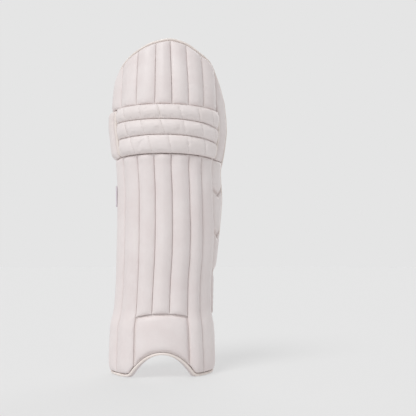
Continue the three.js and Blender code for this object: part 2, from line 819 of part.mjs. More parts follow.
function ankleStrap() {
  const levels = bandLevels(ankleStrapLevel, ankleStrapWidth);
  const landing = (z) => [
    ...anchorPoints(z, [-80.5, -85]),
    ...acrossBack(z, 0, [-0.8, -0.7, ankleLandingEnd]),
  ];
  const landingLevels = bandLevels(ankleStrapLevel, ankleStrapWidth - 2 * landingMargin);
  add('ankle_landing', webbing(landing, landingLevels), lining);
  const reach = [0.85, 0.6, 0.2, -0.2, ankleStrapEnd];
  const route = (z) => [...anchorPoints(z, strapAnchor), ...acrossBack(z, 1, reach)];
  add('ankle_strap', webbing(route, levels), elastic);
  const start = ankleStrapEnd - 1 / shinRadius;
  const tabRoute = (z) => acrossBack(z, 1, [start, mix(start, ankleTabTip, 0.5), ankleTabTip]);
  const tab = (share) => {
    const half = ankleTabShape.half * Math.sqrt(Math.max(1 - share ** ankleTabShape.blunt, 0.01));
    return [0.5 - half, 0.5 + half];
  };
  add('ankle_tab', webbing(tabRoute, levels, tab), hookTape);
}

// The knee strap slopes down to the inner side
function kneeStrap() {
  const levels = bandLevels(kneeStrapLevel, kneeStrapWidth);
  const drop = kneeStrapEndDrop * padHeight;
  const lower = (points) => {
    points.forEach((point) => point.setZ(point.z - (drop * (1 - point.x / shinRadius)) / 2));
    return points;
  };
  const liningThickness = seamThickness + liningCrown + layerGap;
  const reach = [0.82, 0.6, 0.2, -0.1, kneeStrapJoin];
  const route = (z) =>
    lower([...anchorPoints(z, strapAnchor, liningThickness), ...acrossBack(z, 1, reach)]);
  add('knee_strap', webbing(route, levels), elastic);
  const start = kneeStrapJoin - 1 / shinRadius;
  const endRoute = (z) => lower(acrossBack(z, 1, [start, -0.65, -0.85, -1.02]));
  const endLevels = bandLevels(kneeStrapLevel, kneeStrapWidth + 2 * kneeStrapEndMargin);
  add('knee_strap_end', webbing(endRoute, endLevels), lining);
}

add('carrier_shell', carrierShell(), lining);
add('edge_piping', edgePiping(), pipingLeather);
shinRibs();
add('instep_panel', instepPanel(), leather);
rollNames.forEach((name, i) => add(name, kneeRoll(i), rollLeather));
add('knee_flap', kneeFlap(), rollLeather);
kneeEndRolls();
topRibs();
add('outer_side_panel', outerSidePanel(), leather);
wingSegments();
innerPieces();
const hemLevels = [hemLowLevel * padHeight, hemHighLevel * padHeight - seamGap];
add('hem_band', innerBand(hemLevels, hemEdges, hemCrown), lining);
const headLevels = [bolsterTopLevel * padHeight + seamGap, headBandTopLevel * padHeight - seamGap];
add('head_band', innerBand(headLevels, headBandEdges, headBandCrown), meshLining);
topBack();
calfStrap();
ankleStrap();
kneeStrap();

// The origin is under the middle of the pad, on the surface it stands on
const bounds = new THREE.Box3().setFromObject(pad);
const middle = bounds.getCenter(new THREE.Vector3());
pad.position.set(-middle.x, -middle.y, -bounds.min.z);

export default pad;
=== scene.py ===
# Looks of a cricket batting pad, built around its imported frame.
# Shapes are worked out in millimetres on the pad's own curved surface. A place on it is an angle round
# the leg (degrees, 0 at the front, positive towards the wing), a height, and a depth outwards from the
# backing's front face. Negative depths are towards the leg.
import math

import bpy
import numpy as np
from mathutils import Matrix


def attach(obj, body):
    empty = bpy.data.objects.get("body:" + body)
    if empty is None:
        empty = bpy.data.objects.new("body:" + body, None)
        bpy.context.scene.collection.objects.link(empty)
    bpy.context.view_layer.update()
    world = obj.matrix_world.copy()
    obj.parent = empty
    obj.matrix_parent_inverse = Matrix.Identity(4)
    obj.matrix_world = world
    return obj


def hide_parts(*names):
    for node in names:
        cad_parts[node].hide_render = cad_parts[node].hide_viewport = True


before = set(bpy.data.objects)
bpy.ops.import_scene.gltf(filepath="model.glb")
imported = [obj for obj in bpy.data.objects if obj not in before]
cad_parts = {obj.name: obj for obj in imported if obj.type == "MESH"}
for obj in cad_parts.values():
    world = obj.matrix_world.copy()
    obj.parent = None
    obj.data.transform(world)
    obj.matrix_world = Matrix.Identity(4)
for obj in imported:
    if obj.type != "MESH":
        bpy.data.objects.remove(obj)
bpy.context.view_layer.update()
print("frame loaded:", len(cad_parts), "nodes")

millimetre = 0.001

# The pad's own surface

pad = dict(height=690, radius=96, lean=28, wall=9, leftBend=80, layerGap=0.6, innerGap=0.8, seam=0.5, skin=2.4,
           piping=2.6, endPiping=3, archHeight=46, archAngle=36, archRounding=6, lobeAngle=71, cornerAngle=84,
           cornerRise=40)

# Shares of the pad's height, of the leg's radius (radius, centre) and of the lean; edges in degrees
sections = dict(
    height=[0, 0.136, 0.196, 0.275, 0.355, 0.435, 0.53, 0.612, 0.646, 0.7, 0.746, 0.79, 0.83, 1],
    radius=[1.093, 1.06, 0.985, 0.975, 0.998, 1.006, 1, 1.011, 1.053, 1.111, 1.141, 1.144, 1.141, 1.065],
    centre=[0.005, 0.008, 0.023, 0.049, 0.085, 0.1, 0.1, 0.081, 0.08, 0.075, 0.065, 0.068, 0.076, 0.096],
    setback=[0, 0, 0, 0, 0, 0, 0, 0.028, 0.081, 0.186, 0.268, 0.334, 0.405, 1],
    rightBend=[80, 79, 77, 74, 70, 66, 62, 62, 62, 62, 62, 62, 62, 62],
    leftEdge=[-84, -86, -88, -90, -92, -92, -92, -92, -92, -90, -88, -86, -85, -85],
    rightEdge=[84, 85, 86, 87, 93, 98, 101, 98, 98, 98, 99, 96, 92, 92],
)
topOutline = dict(
    angle=[-85, -74, -64, -51, -37, -17, 3, 20, 38, 58, 78, 92],
    height=[0.83, 0.893, 0.924, 0.948, 0.968, 0.99, 1, 0.991, 0.968, 0.944, 0.886, 0.828],
)


# A smooth cubic through a table's rows: each row's slope is the harmonic mean of its neighbours'
def smoothTable(xs, ys, x):
    xs, ys, x = np.asarray(xs, float), np.asarray(ys, float), np.asarray(x, float)
    step = np.diff(xs)
    slope = np.diff(ys) / step
    rising = slope[:-1] * slope[1:]
    tangent = np.concatenate([[slope[0]], np.zeros(len(rising)), [slope[-1]]])
    same = rising > 0
    tangent[1:-1][same] = 2 * rising[same] / (slope[:-1] + slope[1:])[same]
    i = np.clip(np.searchsorted(xs, x) - 1, 0, len(xs) - 2)
    t = np.clip((x - xs[i]) / step[i], 0, 1)
    return ((1 + 2 * t) * (1 - t) ** 2 * ys[i] + t * (1 - t) ** 2 * step[i] * tangent[i]
            + t * t * (3 - 2 * t) * ys[i + 1] + t * t * (t - 1) * step[i] * tangent[i + 1])


def section(column, z):
    return smoothTable(sections["height"], sections[column], np.asarray(z) / pad["height"])


def mix(a, b, share):
    return a + (b - a) * share


def degreesFor(length):
    return math.degrees(length / pad["radius"])


def leftEdge(z):
    return section("leftEdge", z)


def rightEdge(z):
    return section("rightEdge", z)


def topEdge(angle):
    return smoothTable(topOutline["angle"], topOutline["height"], angle) * pad["height"]


# The larger of two heights, rounded where they cross
def roundedMax(a, b, size):
    return (a + b + np.sqrt((a - b) ** 2 + size ** 2)) / 2 - size / 12


# Foot outline: a parabola over the arch, flat lobes, and outer corners that curve up
def footEdge(angle):
    away = np.abs(angle)
    arch = pad["archHeight"] * (1 - (away / pad["archAngle"]) ** 2)
    past = np.clip((away - pad["lobeAngle"]) / (pad["cornerAngle"] - pad["lobeAngle"]), 0, 1)
    return np.maximum(roundedMax(arch, pad["cornerRise"] * past ** 2, pad["archRounding"]), 0)


# A line moved inwards square to itself; side is 1 above a lower line and -1 below an upper one
def insetLine(line, distance, side):
    def moved(angle):
        slope = (line(angle + 1.5) - line(angle - 1.5)) / (3 * math.radians(1) * pad["radius"])
        return line(angle) + side * distance * np.hypot(1, slope)
    return moved


# Where the leg's axis stands in the frame: between the ends of the backing's flat foot rim, and
# one foot radius behind the rim's foremost point, which is at the arch's end
def findLegAxis():
    rim = np.array([v.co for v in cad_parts["carrier_shell"].data.vertices]) / millimetre
    rim = rim[rim[:, 2] < 0.01]
    footRadius = pad["radius"] * sections["radius"][0]
    return np.array([(rim[:, 0].min() + rim[:, 0].max()) / 2,
                     rim[:, 1].min() + footRadius * math.cos(math.radians(pad["archAngle"])), 0])


legAxis = findLegAxis()


# Point of the pad: round the bend at the section's radius, then straight on along the tangent
def onPad(angle, z, depth):
    angle, z, depth = np.broadcast_arrays(np.asarray(angle, float), z, depth)
    radius = section("radius", z) * pad["radius"]
    bend = np.clip(angle, -pad["leftBend"], section("rightBend", z))
    straight = np.radians(angle - bend) * radius
    sine, cosine = np.sin(np.radians(bend)), np.cos(np.radians(bend))
    x = section("centre", z) * pad["radius"] + (radius + depth) * sine + straight * cosine
    y = section("setback", z) * pad["lean"] - (radius + depth) * cosine + straight * sine
    return np.stack([x, y, z], axis=-1) + legAxis


# Depth of a piece's back: on the backing's front (side 1) or behind it, next to the leg (side -1)
def seatDepth(side):
    return pad["layerGap"] if side > 0 else -(pad["wall"] + pad["layerGap"])


def unit(vectors):
    return vectors / np.maximum(np.linalg.norm(vectors, axis=-1, keepdims=True), 1e-9)


# Way out of the pad at a place on it
def outwardAt(angle, z):
    return unit(onPad(angle, z, 5) - onPad(angle, z, 0))


# Lengths from a path's start to each of its points
def lengthsAlong(path):
    return np.concatenate([[0], np.cumsum(np.linalg.norm(np.diff(path, axis=0), axis=1))])


# Values of a path's points at given lengths from its start
def atLengths(where, along, values):
    return np.stack([np.interp(where, along, values[:, k]) for k in range(3)], axis=-1)


# An edge line that keeps one value
def always(value):
    return lambda place: value + 0 * np.asarray(place, float)


def above(line, distance):
    return lambda angle: line(angle) + distance


# Shapes of padding

# 0 at a seam and 1 from the width on: a quarter of a superellipse
def rise(distance, width, power=2.0):
    near = 1 - np.clip(distance / width, 0, 1)
    return (1 - near ** power) ** (1 / power)


# Soft noise of about -1 to 1: sine waves whose directions, paces and phases come from one seed
def noise(u, v, seed, waves=10):
    draw = np.random.default_rng(seed)
    total = 0
    for turn, phase, pace in draw.uniform((0, 0, 0.55), (math.pi, 2 * math.pi, 1.6), (waves, 3)):
        total = total + np.sin(pace * (u * math.cos(turn) + v * math.sin(turn)) + phase)
    return total / math.sqrt(waves)


# Angles and heights of a grid between four edge lines. left and right give degrees for a height,
# low and high give heights for an angle, so they are worked out in turns.
def gridBetween(s, t, left, right, low, high):
    angle = np.zeros_like(s)
    for _ in range(4):
        z = mix(low(angle), high(angle), t)
        angle = mix(left(z), right(z), s)
    return angle, z


# Numbers of a grid's points, with its first row or column again at the end where it closes on itself
def numbered(rows, columns, closeRows=False, closeColumns=False):
    index = np.arange(rows * columns).reshape(rows, columns)
    if closeRows:
        index = np.vstack([index, index[:1]])
    if closeColumns:
        index = np.hstack([index, index[:, :1]])
    return index


def cells(index):
    return np.stack([index[:-1, :-1], index[1:, :-1], index[1:, 1:], index[:-1, 1:]], axis=-1).reshape(-1, 4)


# Object from points in metres and quads of their numbers. A closed one is smooth and faces outwards.
# seam says how near each point is to a seam, which the finishes paint darker as painted shade,
# and cloth where it lies on the flat cloth, per 100 mm.
def makeObject(name, points, quads, finish, seam=None, cloth=None, caps=(), closed=True):
    mesh = bpy.data.meshes.new(name)
    mesh.from_pydata(points.tolist(), [], quads.tolist() + list(caps))
    if closed:
        a, b, c, d = (points[quads[:, k]] - points.mean(0) for k in range(4))
        if (a * (np.cross(b, c) + np.cross(c, d))).sum() < 0:
            mesh.flip_normals()
        mesh.polygons.foreach_set("use_smooth", np.ones(len(mesh.polygons), bool))
    if seam is not None:
        mesh.attributes.new("seam", "FLOAT", "POINT").data.foreach_set("value", seam.astype(np.float32))
    if cloth is not None:
        corner = np.zeros(len(mesh.loops), np.int32)
        mesh.loops.foreach_get("vertex_index", corner)
        mesh.uv_layers.new(name="cloth").data.foreach_set("uv", cloth[corner].astype(np.float32).ravel())
    mesh.materials.append(finish)
    piece = bpy.data.objects.new(name, mesh)
    bpy.context.collection.objects.link(piece)
    return piece


# Closed body from a face grid and a back grid of the same rows and columns, joined round the rim
def closedBody(name, face, back, finish, seam, cloth):
    index = numbered(*face.shape[:2])
    other = index.size
    quads = cells(index)[:, [0, 3, 2, 1]]
    rims = [index[:, 0], index[-1, :], index[::-1, -1], index[0, ::-1]]
    sides = [np.stack([rim[:-1], rim[1:], rim[1:] + other, rim[:-1] + other], axis=-1) for rim in rims]
    piece = makeObject(name, np.concatenate([face.reshape(-1, 3), back.reshape(-1, 3)]) * millimetre,
                       np.concatenate([quads, quads[:, ::-1] + other, *sides]), finish,
                       np.tile(seam.ravel(), 2), np.tile(cloth.reshape(-1, 2), (2, 1)))
    piece.data.set_sharp_from_angle(angle=math.radians(60))
    piece.data.validate()
    return piece


# What every finished piece says to the frame
def settle(piece, nodes=()):
    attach(piece, "root")
    if nodes:
        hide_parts(*nodes)
    return piece


# Distances in mm over which a cover behaves: how far from a seam its puckers and its painted shade
# reach, and how long the puckers and the slow unevenness are across and up. least is its thinnest place.
cover = dict(puckerReach=5.0, puckerStart=1.5, puckerAcross=4.5, puckerUp=2.2, unevenAcross=11, unevenUp=14,
             shadeReach=1.4, least=0.7)


# What a cover has unless its piece says otherwise. Widths say how far from a seam it rises, and margins
# are flat borders that stay down at the skin.
plainCover = dict(side=1, lift=0, base=pad["skin"], power=2.0, endPower=2.0, sideWidth=1000, endWidth=14,
                  sideMargin=0, lowMargin=0, highMargin=0, pucker=0.35, uneven=0.35)


# A padded piece's face as a function of s (across, 0 to 1) and t (up, 0 to 1). The cover stands at
# its skin on the seams and rises to its crown as two superellipses, one from the sides and one from
# the ends. Ripples near the seams are the puckers that the stitches draw in, and slow noise is the
# unevenness of the filling.
def paddedFace(shape):
    side, seed, endPower = shape["side"], shape["seed"], shape["endPower"]
    lowWidth, highWidth = (shape.get(width, shape["endWidth"]) for width in ("lowWidth", "highWidth"))

    def face(s, t, lift=0.0):
        angle, z = gridBetween(s, t, shape["left"], shape["right"], shape["low"], shape["high"])
        width = np.radians(shape["right"](z) - shape["left"](z)) * pad["radius"]
        height = shape["high"](angle) - shape["low"](angle)
        across, up = s * width, t * height
        fromSide = np.minimum(across, width - across) - shape["sideMargin"]
        fromLow, fromHigh = up - shape["lowMargin"], height - up - shape["highMargin"]
        sideWidth = np.minimum(shape["sideWidth"], width / 2 - shape["sideMargin"])
        full = rise(np.maximum(fromSide, 0), sideWidth, shape["power"])
        ends = rise(np.maximum(fromLow, 0), lowWidth, endPower) * rise(np.maximum(fromHigh, 0), highWidth, endPower)
        toSeam = np.clip(np.minimum(np.minimum(fromSide, fromLow), fromHigh), 0, None)
        depth = shape["base"] + shape["crown"] * full * ends
        pucker = shape["pucker"] * np.exp(-toSeam / cover["puckerReach"])
        depth = depth + (pucker * noise(across / cover["puckerAcross"], up / cover["puckerUp"], seed)
                         * np.clip(toSeam / cover["puckerStart"], 0, 1))
        depth = depth + (shape["uneven"] * full * ends
                         * noise(across / cover["unevenAcross"], up / cover["unevenUp"], seed + 50))
        # seam is 1 on the seams and fades away from them; the finishes paint shade there
        seam = np.exp(-toSeam / cover["shadeReach"])
        if "pulled" in shape:
            pulled = shape["pulled"](angle, z)
            depth = depth - shape["pullDepth"] * pulled * full * ends
            # the stitched grooves are painted darker too, as painted shade
            seam = np.maximum(seam, np.clip(pulled * 4 - 3, 0, 1))
        depth = np.maximum(depth, cover["least"])
        point = onPad(angle, z, seatDepth(side) + side * (depth + shape["lift"] + lift))
        return point, seam, np.stack([across, up], axis=-1) / 100, angle, z
    return face


# Cloth simulation of a stuffed cover: it is sewn down along its seams and at its back, its cloth
# grows by a share, and a light pressure fills it, so that it wrinkles towards the seams. No point
# moves further than most mm.
filling = dict(sewnFrom=0.6, frames=20, most=5)
stuffedCloth = dict(vertex_group_mass="sewn", quality=6, mass=0.15, tension_stiffness=12,
                    compression_stiffness=12, shear_stiffness=5, bending_stiffness=0.6, use_pressure=True,
                    uniform_pressure_force=4)


def stuff(piece, facePoints, seam, growth):
    mesh, scene = piece.data, bpy.context.scene
    held = piece.vertex_groups.new(name="sewn")
    sewn = np.flatnonzero(seam.ravel() > filling["sewnFrom"])
    held.add([int(i) for i in sewn], 1.0, "REPLACE")
    held.add(list(range(facePoints, len(mesh.vertices))), 1.0, "REPLACE")
    cloth = piece.modifiers.new("stuffing", "CLOTH")
    for key, value in stuffedCloth.items():
        setattr(cloth.settings, key, value)
    cloth.settings.shrink_min = -growth
    cloth.settings.effector_weights.gravity = 0
    cloth.collision_settings.use_collision = False
    cloth.point_cache.frame_start, cloth.point_cache.frame_end = 1, filling["frames"]
    start, end = np.zeros((2, len(mesh.vertices) * 3))
    mesh.vertices.foreach_get("co", start)
    for moment in range(1, filling["frames"] + 1):
        scene.frame_set(moment)
    stuffed = piece.evaluated_get(bpy.context.evaluated_depsgraph_get()).to_mesh()
    stuffed.vertices.foreach_get("co", end)
    piece.modifiers.remove(cloth)
    scene.frame_set(1)
    move = (end - start).reshape(-1, 3)
    length = np.linalg.norm(move, axis=1, keepdims=True)
    most = filling["most"] * millimetre
    kept = most * np.tanh(length / most) / np.maximum(length, 1e-9)
    mesh.vertices.foreach_set("co", (start.reshape(-1, 3) + move * kept).ravel())
    mesh.update()
    print("stuffed", piece.name, "moved up to %.1f mm" % (length.max() / millimetre))


faces = {}  # the padded pieces' faces, for the stitches that lie on them


def paddedPiece(name, shape, finish, size, growth=0.0):
    shape = dict(plainCover, **shape)
    face = faces[name] = paddedFace(shape)
    # rows and columns gather towards the seams, where the cover turns
    s, t = np.meshgrid(gathered(size[0]), gathered(size[1], 0.25))
    front, seam, cloth, angle, z = face(s, t)
    back = onPad(angle, z, seatDepth(shape["side"]) + shape["side"] * shape["lift"])
    piece = closedBody(name + "_cover", front, back, finish, seam, cloth)
    if growth:
        stuff(piece, seam.size, seam, growth)
    settle(piece, [name])


# 0 to 1 in a number of steps that are closer together near both ends
def gathered(count, amount=0.55):
    even = np.linspace(0, 1, count)
    return even - amount * np.sin(2 * math.pi * even) / (2 * math.pi)


# Point on a curve through points, with the paces of a centripetal Catmull-Rom
def throughPoints(points, shares):
    points = np.asarray(points, float)
    p = np.vstack([2 * points[0] - points[1], points, 2 * points[-1] - points[-2]])
    gap = np.maximum(np.sqrt(np.linalg.norm(np.diff(p, axis=0), axis=1)), 1e-4)[:, None]
    x = np.asarray(shares) * (len(points) - 1)
    i = np.clip(x.astype(int), 0, len(points) - 2)
    f = (x - i)[:, None]
    p0, p1, p2, p3 = p[i], p[i + 1], p[i + 2], p[i + 3]
    d0, d1, d2 = gap[i], gap[i + 1], gap[i + 2]
    m1 = d1 * ((p1 - p0) / d0 - (p2 - p0) / (d0 + d1) + (p2 - p1) / d1)
    m2 = d1 * ((p2 - p1) / d1 - (p3 - p1) / (d1 + d2) + (p3 - p2) / d2)
    return ((2 * f ** 3 - 3 * f ** 2 + 1) * p1 + (f ** 3 - 2 * f ** 2 + f) * m1
            + (3 * f ** 2 - 2 * f ** 3) * p2 + (f ** 3 - f ** 2) * m2)


# Round tube along a path: a circle in the plane of the outward and sideways directions
def tube(name, path, outward, radius, finish, ring=False, sides=14):
    forward = np.roll(path, -1, 0) - np.roll(path, 1, 0) if ring else np.gradient(path, axis=0)
    sideways = unit(np.cross(unit(forward), outward))
    normal = np.cross(sideways, unit(forward))
    turn = np.linspace(0, 2 * math.pi, sides, endpoint=False)
    radii = np.broadcast_to(np.asarray(radius, float), (len(path),))[:, None, None]
    offset = normal[:, None] * np.cos(turn)[:, None] + sideways[:, None] * np.sin(turn)[:, None]
    points = (path[:, None] + radii * offset).reshape(-1, 3) * millimetre
    rows, last = len(path), (len(path) - 1) * sides
    caps = [] if ring else [list(range(sides - 1, -1, -1)), list(range(last, last + sides))]
    flat = np.stack(np.broadcast_arrays(turn * np.mean(radii), lengthsAlong(path)[:, None]), axis=-1)
    # the side of the tube that faces the pad is painted darker, as painted shade under it
    seam = np.tile(np.clip(-np.cos(turn), 0, 1), rows)
    return makeObject(name, points, cells(numbered(rows, sides, ring, True)), finish, seam,
                      flat.reshape(-1, 2) / 100, caps)


# A ring given as angles and heights, spaced evenly along its length
def evenly(angle, z, spacing):
    angle, z = np.append(angle, angle[0]), np.append(z, z[0])
    along = lengthsAlong(onPad(angle, z, 0))
    where = np.linspace(0, along[-1], int(along[-1] / spacing) + 1)[:-1]
    return np.interp(where, along, angle), np.interp(where, along, z)


# Stitches: each is a short six-sided bead whose ends sink into the cover. points are the places of
# their middles, with the run of the seam and the way out of the cover.
def stitchRow(points, forward, outward, length=3.1, thick=0.42):
    across = np.cross(forward, outward)
    ring = np.linspace(0, 2 * math.pi, 6, endpoint=False)
    along = np.array([-0.5, -0.3, 0, 0.3, 0.5])
    girth = np.array([0.35, 0.9, 1, 0.9, 0.35])
    sunk = np.array([-0.5, 0.05, 0.3, 0.05, -0.5])
    centre = (points[:, None] + forward[:, None] * (along * length)[:, None]
              + outward[:, None] * (sunk * thick)[:, None])
    offset = (across[:, None, None] * np.sin(ring)[:, None] + outward[:, None, None] * np.cos(ring)[:, None])
    return centre[:, :, None] + offset * (girth * thick)[None, :, None, None]


def stitching(name, rows):
    beads = np.concatenate(rows)
    count, rings, sides = beads.shape[:3]
    ends = np.array([[0, 1, 2, 3], [0, 3, 4, 5]])
    quads = np.concatenate([cells(numbered(rings, sides, closeColumns=True)), ends,
                            ends[:, ::-1] + (rings - 1) * sides])
    every = (quads[None] + np.arange(count)[:, None, None] * rings * sides).reshape(-1, 4)
    settle(makeObject(name, beads.reshape(-1, 3) * millimetre, every, thread))


seamRun = np.linspace(0, 1, 400)


# A row of stitches over a padded face. s and t are numbers, or values along seamRun.
def seamOver(face, s, t, pitch=4.2, lift=0.05):
    s, t = np.broadcast_to(s, seamRun.shape), np.broadcast_to(t, seamRun.shape)
    path, raised = face(s, t, lift)[0], face(s, t, lift + 1.0)[0]
    along = lengthsAlong(path)
    where = np.arange(pitch, along[-1] - pitch / 2, pitch)
    points = atLengths(where, along, path)
    forward = unit(atLengths(where + 0.5, along, path) - points)
    outward = unit(atLengths(where, along, raised) - points)
    return stitchRow(points, forward, unit(outward - forward * (forward * outward).sum(-1, keepdims=True)))


# Materials


# sRGB hex to linear light, by the two-part sRGB curve on each channel
def linear(code):
    parts = [int(code[i:i + 2], 16) / 255 for i in (1, 3, 5)]
    return tuple(c / 12.92 if c <= 0.04045 else ((c + 0.055) / 1.055) ** 2.4 for c in parts) + (1.0,)


# Adds one node: inputs holds values or the sockets that they are linked from, by name or number
def addNode(tree, kind, inputs, **properties):
    node = tree.nodes.new("ShaderNode" + kind)
    for key, value in properties.items():
        setattr(node, key, value)
    for key, value in inputs.items():
        if isinstance(value, bpy.types.NodeSocket):
            tree.links.new(value, node.inputs[key])
        else:
            node.inputs[key].default_value = value
    return node


def mathNode(tree, operation, *inputs):
    return addNode(tree, "Math", dict(enumerate(inputs)), operation=operation).outputs[0]


def blend(tree, share, first, second):
    return addNode(tree, "Mix", {0: share, 6: first, 7: second}, data_type="RGBA").outputs[2]


# Bump from a height; deep is in metres
def bumpNode(tree, height, strength, deep, **more):
    return addNode(tree, "Bump", {"Height": height, "Strength": strength, "Distance": deep}, **more)


# Links a finish's colour and bump to its shader
def dress(tree, shader, colour, bump):
    tree.links.new(colour, shader.inputs["Base Color"])
    tree.links.new(bump.outputs[0], shader.inputs["Normal"])


# Sine waves along one axis of the cloth's own map, one every size mm
def waves(tree, flat, axis, size):
    return mathNode(tree, "SINE", mathNode(tree, "MULTIPLY", flat.outputs[axis], 2 * math.pi * 100 / size))


# The frame that every finish shares: an empty tree with its coordinates and shader
def startFinish(name, roughness, sheen=0.0, specular=0.5):
    material = bpy.data.materials.new(name)
    material.use_nodes = True
    tree = material.node_tree
    tree.nodes.clear()
    where = addNode(tree, "TexCoord", {})
    shader = addNode(tree, "BsdfPrincipled", {"Roughness": roughness, "Sheen Weight": sheen,
                                              "Sheen Roughness": 0.4, "Specular IOR Level": specular, "IOR": 1.46})
    addNode(tree, "OutputMaterial", {"Surface": shader.outputs[0]})
    return material, tree, where, shader


# Two tones that drift over the surface, then a darker one where the seam attribute is high: painted shade
# with a little dust along seams, edges and grooves
def tones(tree, where, light, dark, shadeAndDustTone, drift=55, shadeAndDustShare=0.45):
    soft = addNode(tree, "TexNoise", {"Vector": where.outputs["Object"], "Scale": 1000 / drift, "Detail": 3.0,
                                      "Roughness": 0.55})
    spread = addNode(tree, "MapRange", {0: soft.outputs[0], 1: 0.35, 2: 0.68})
    base = blend(tree, spread.outputs[0], linear(light), linear(dark))
    seam = addNode(tree, "Attribute", {}, attribute_name="seam")
    return blend(tree, mathNode(tree, "MULTIPLY", seam.outputs["Fac"], shadeAndDustShare), base, linear(shadeAndDustTone))


# Coated leather: polyurethane on a woven base, pressed with a fine pebble grain. Pebbles of about
# 1 mm are drawn at grain mm, so that they just show; the seams are painted darker, as painted shade
# with a little dust.
def coatedLeather(name, light, dark, shadeAndDustTone, grain=1.9, roughness=0.48):
    material, tree, where, shader = startFinish(name, roughness, sheen=0.05)
    colour = tones(tree, where, light, dark, shadeAndDustTone)
    place = where.outputs["Object"]
    pebble = addNode(tree, "TexVoronoi", {"Vector": place, "Scale": 1000 / grain, "Randomness": 0.9},
                     feature="SMOOTH_F1")
    crease = addNode(tree, "TexNoise", {"Vector": place, "Scale": 1000 / 9, "Detail": 4.0, "Distortion": 0.6})
    fold = mathNode(tree, "MULTIPLY", crease.outputs[0], 2.0)
    bump = bumpNode(tree, fold, 0.25, 0.0006)
    tree.links.new(bumpNode(tree, pebble.outputs["Distance"], 0.35, 0.0004).outputs[0], bump.inputs["Normal"])
    wear = addNode(tree, "TexNoise", {"Vector": place, "Scale": 1000 / 24, "Detail": 5.0})
    gloss = addNode(tree, "MapRange", {0: wear.outputs[0], 1: 0.3, 2: 0.7, 3: roughness - 0.07, 4: roughness + 0.1})
    tree.links.new(gloss.outputs[0], shader.inputs["Roughness"])
    dress(tree, shader, colour, bump)
    return material


# Woven polyester lining: two crossing sets of threads on the cloth's own map, matte with a faint
# nap. thread is the spacing in mm, drawn at twice the real one so that it shows.
def wovenLining(name, light, dark, shadeAndDustTone, thread=1.5, sheen=0.25, ribbed=0.0):
    material, tree, where, shader = startFinish(name, 0.85, sheen=sheen, specular=0.25)
    colour = tones(tree, where, light, dark, shadeAndDustTone, drift=40)
    flat = addNode(tree, "SeparateXYZ", {0: where.outputs["UV"]})
    over, along = waves(tree, flat, 0, thread), waves(tree, flat, 1, thread)
    weave = mathNode(tree, "MULTIPLY", over, along)
    if ribbed:
        weave = mathNode(tree, "MULTIPLY_ADD", along, ribbed, weave)
    fuzz = addNode(tree, "TexNoise", {"Vector": where.outputs["Object"], "Scale": 1000 / 1.6, "Detail": 3.0})
    height = mathNode(tree, "MULTIPLY_ADD", weave, 0.35, fuzz.outputs[0])
    dress(tree, shader, colour, bumpNode(tree, height, 0.3, 0.0004))
    return material


# Spacer mesh: a knitted face with rows of open cells, painted darker inside them as painted shade.
# Cells of 2 mm are drawn at 3.2 mm, on the cloth's own map.
def spacerMesh(name, light, dark, shadeAndDustTone, cell=3.2):
    material, tree, where, shader = startFinish(name, 0.9, sheen=0.3, specular=0.2)
    colour = tones(tree, where, light, dark, shadeAndDustTone, drift=40)
    scaled = addNode(tree, "VectorMath", {0: where.outputs["UV"], 3: 100 / cell}, operation="SCALE")
    holes = addNode(tree, "TexVoronoi", {"Vector": scaled.outputs[0], "Scale": 1.0, "Randomness": 0.12},
                    voronoi_dimensions="2D")
    cellDepth = addNode(tree, "MapRange", {0: holes.outputs["Distance"], 1: 0.16, 2: 0.34, 3: 1.0, 4: 0.0}).outputs[0]
    # painted shade in the cells: the deeper a place, the more of the shade tone it gets
    shaded = blend(tree, mathNode(tree, "MULTIPLY", cellDepth, 0.35), colour, linear(shadeAndDustTone))
    dress(tree, shader, shaded, bumpNode(tree, cellDepth, 0.5, 0.0006, invert=True))
    return material


# Elastic webbing: cords run along the strap under a rib weave that crosses it every 2 mm or so
def elasticWeb(name, light, dark, shadeAndDustTone, rib=2.4, cord=3.5):
    material, tree, where, shader = startFinish(name, 0.8, sheen=0.2, specular=0.3)
    colour = tones(tree, where, light, dark, shadeAndDustTone, drift=30, shadeAndDustShare=0.5)
    flat = addNode(tree, "SeparateXYZ", {0: where.outputs["UV"]})
    height = mathNode(tree, "MULTIPLY_ADD", waves(tree, flat, 0, cord), 0.35, waves(tree, flat, 1, rib))
    # where the weave lies low it is painted darker, as painted shade in its grooves
    low = addNode(tree, "MapRange", {0: height, 1: -1.2, 2: 0.2, 3: 0.3, 4: 0.0})
    dress(tree, shader, blend(tree, low.outputs[0], colour, linear(shadeAndDustTone)), bumpNode(tree, height, 0.5, 0.0005))
    return material


# Twisted polyester thread: slanting plies that catch the light
def sewingThread(name, tone):
    material, tree, where, shader = startFinish(name, 0.55, sheen=0.1)
    plies = addNode(tree, "TexWave", {"Vector": where.outputs["Object"], "Scale": 1000 / 1.2, "Distortion": 1.0})
    shader.inputs["Base Color"].default_value = linear(tone)
    tree.links.new(bumpNode(tree, plies.outputs[1], 0.3, 0.0002).outputs[0], shader.inputs["Normal"])
    return material


# Studio paper, dead matte and lit through from behind by glow, so that the pad's shadow on it is faint
def studioPaper(name, tone, backdrop, glow):
    material, tree, where, shader = startFinish(name, 1.0, specular=0.0)
    shader.inputs["Base Color"].default_value = linear(tone)
    shader.inputs["Emission Color"].default_value = linear(backdrop)
    shader.inputs["Emission Strength"].default_value = glow
    return material


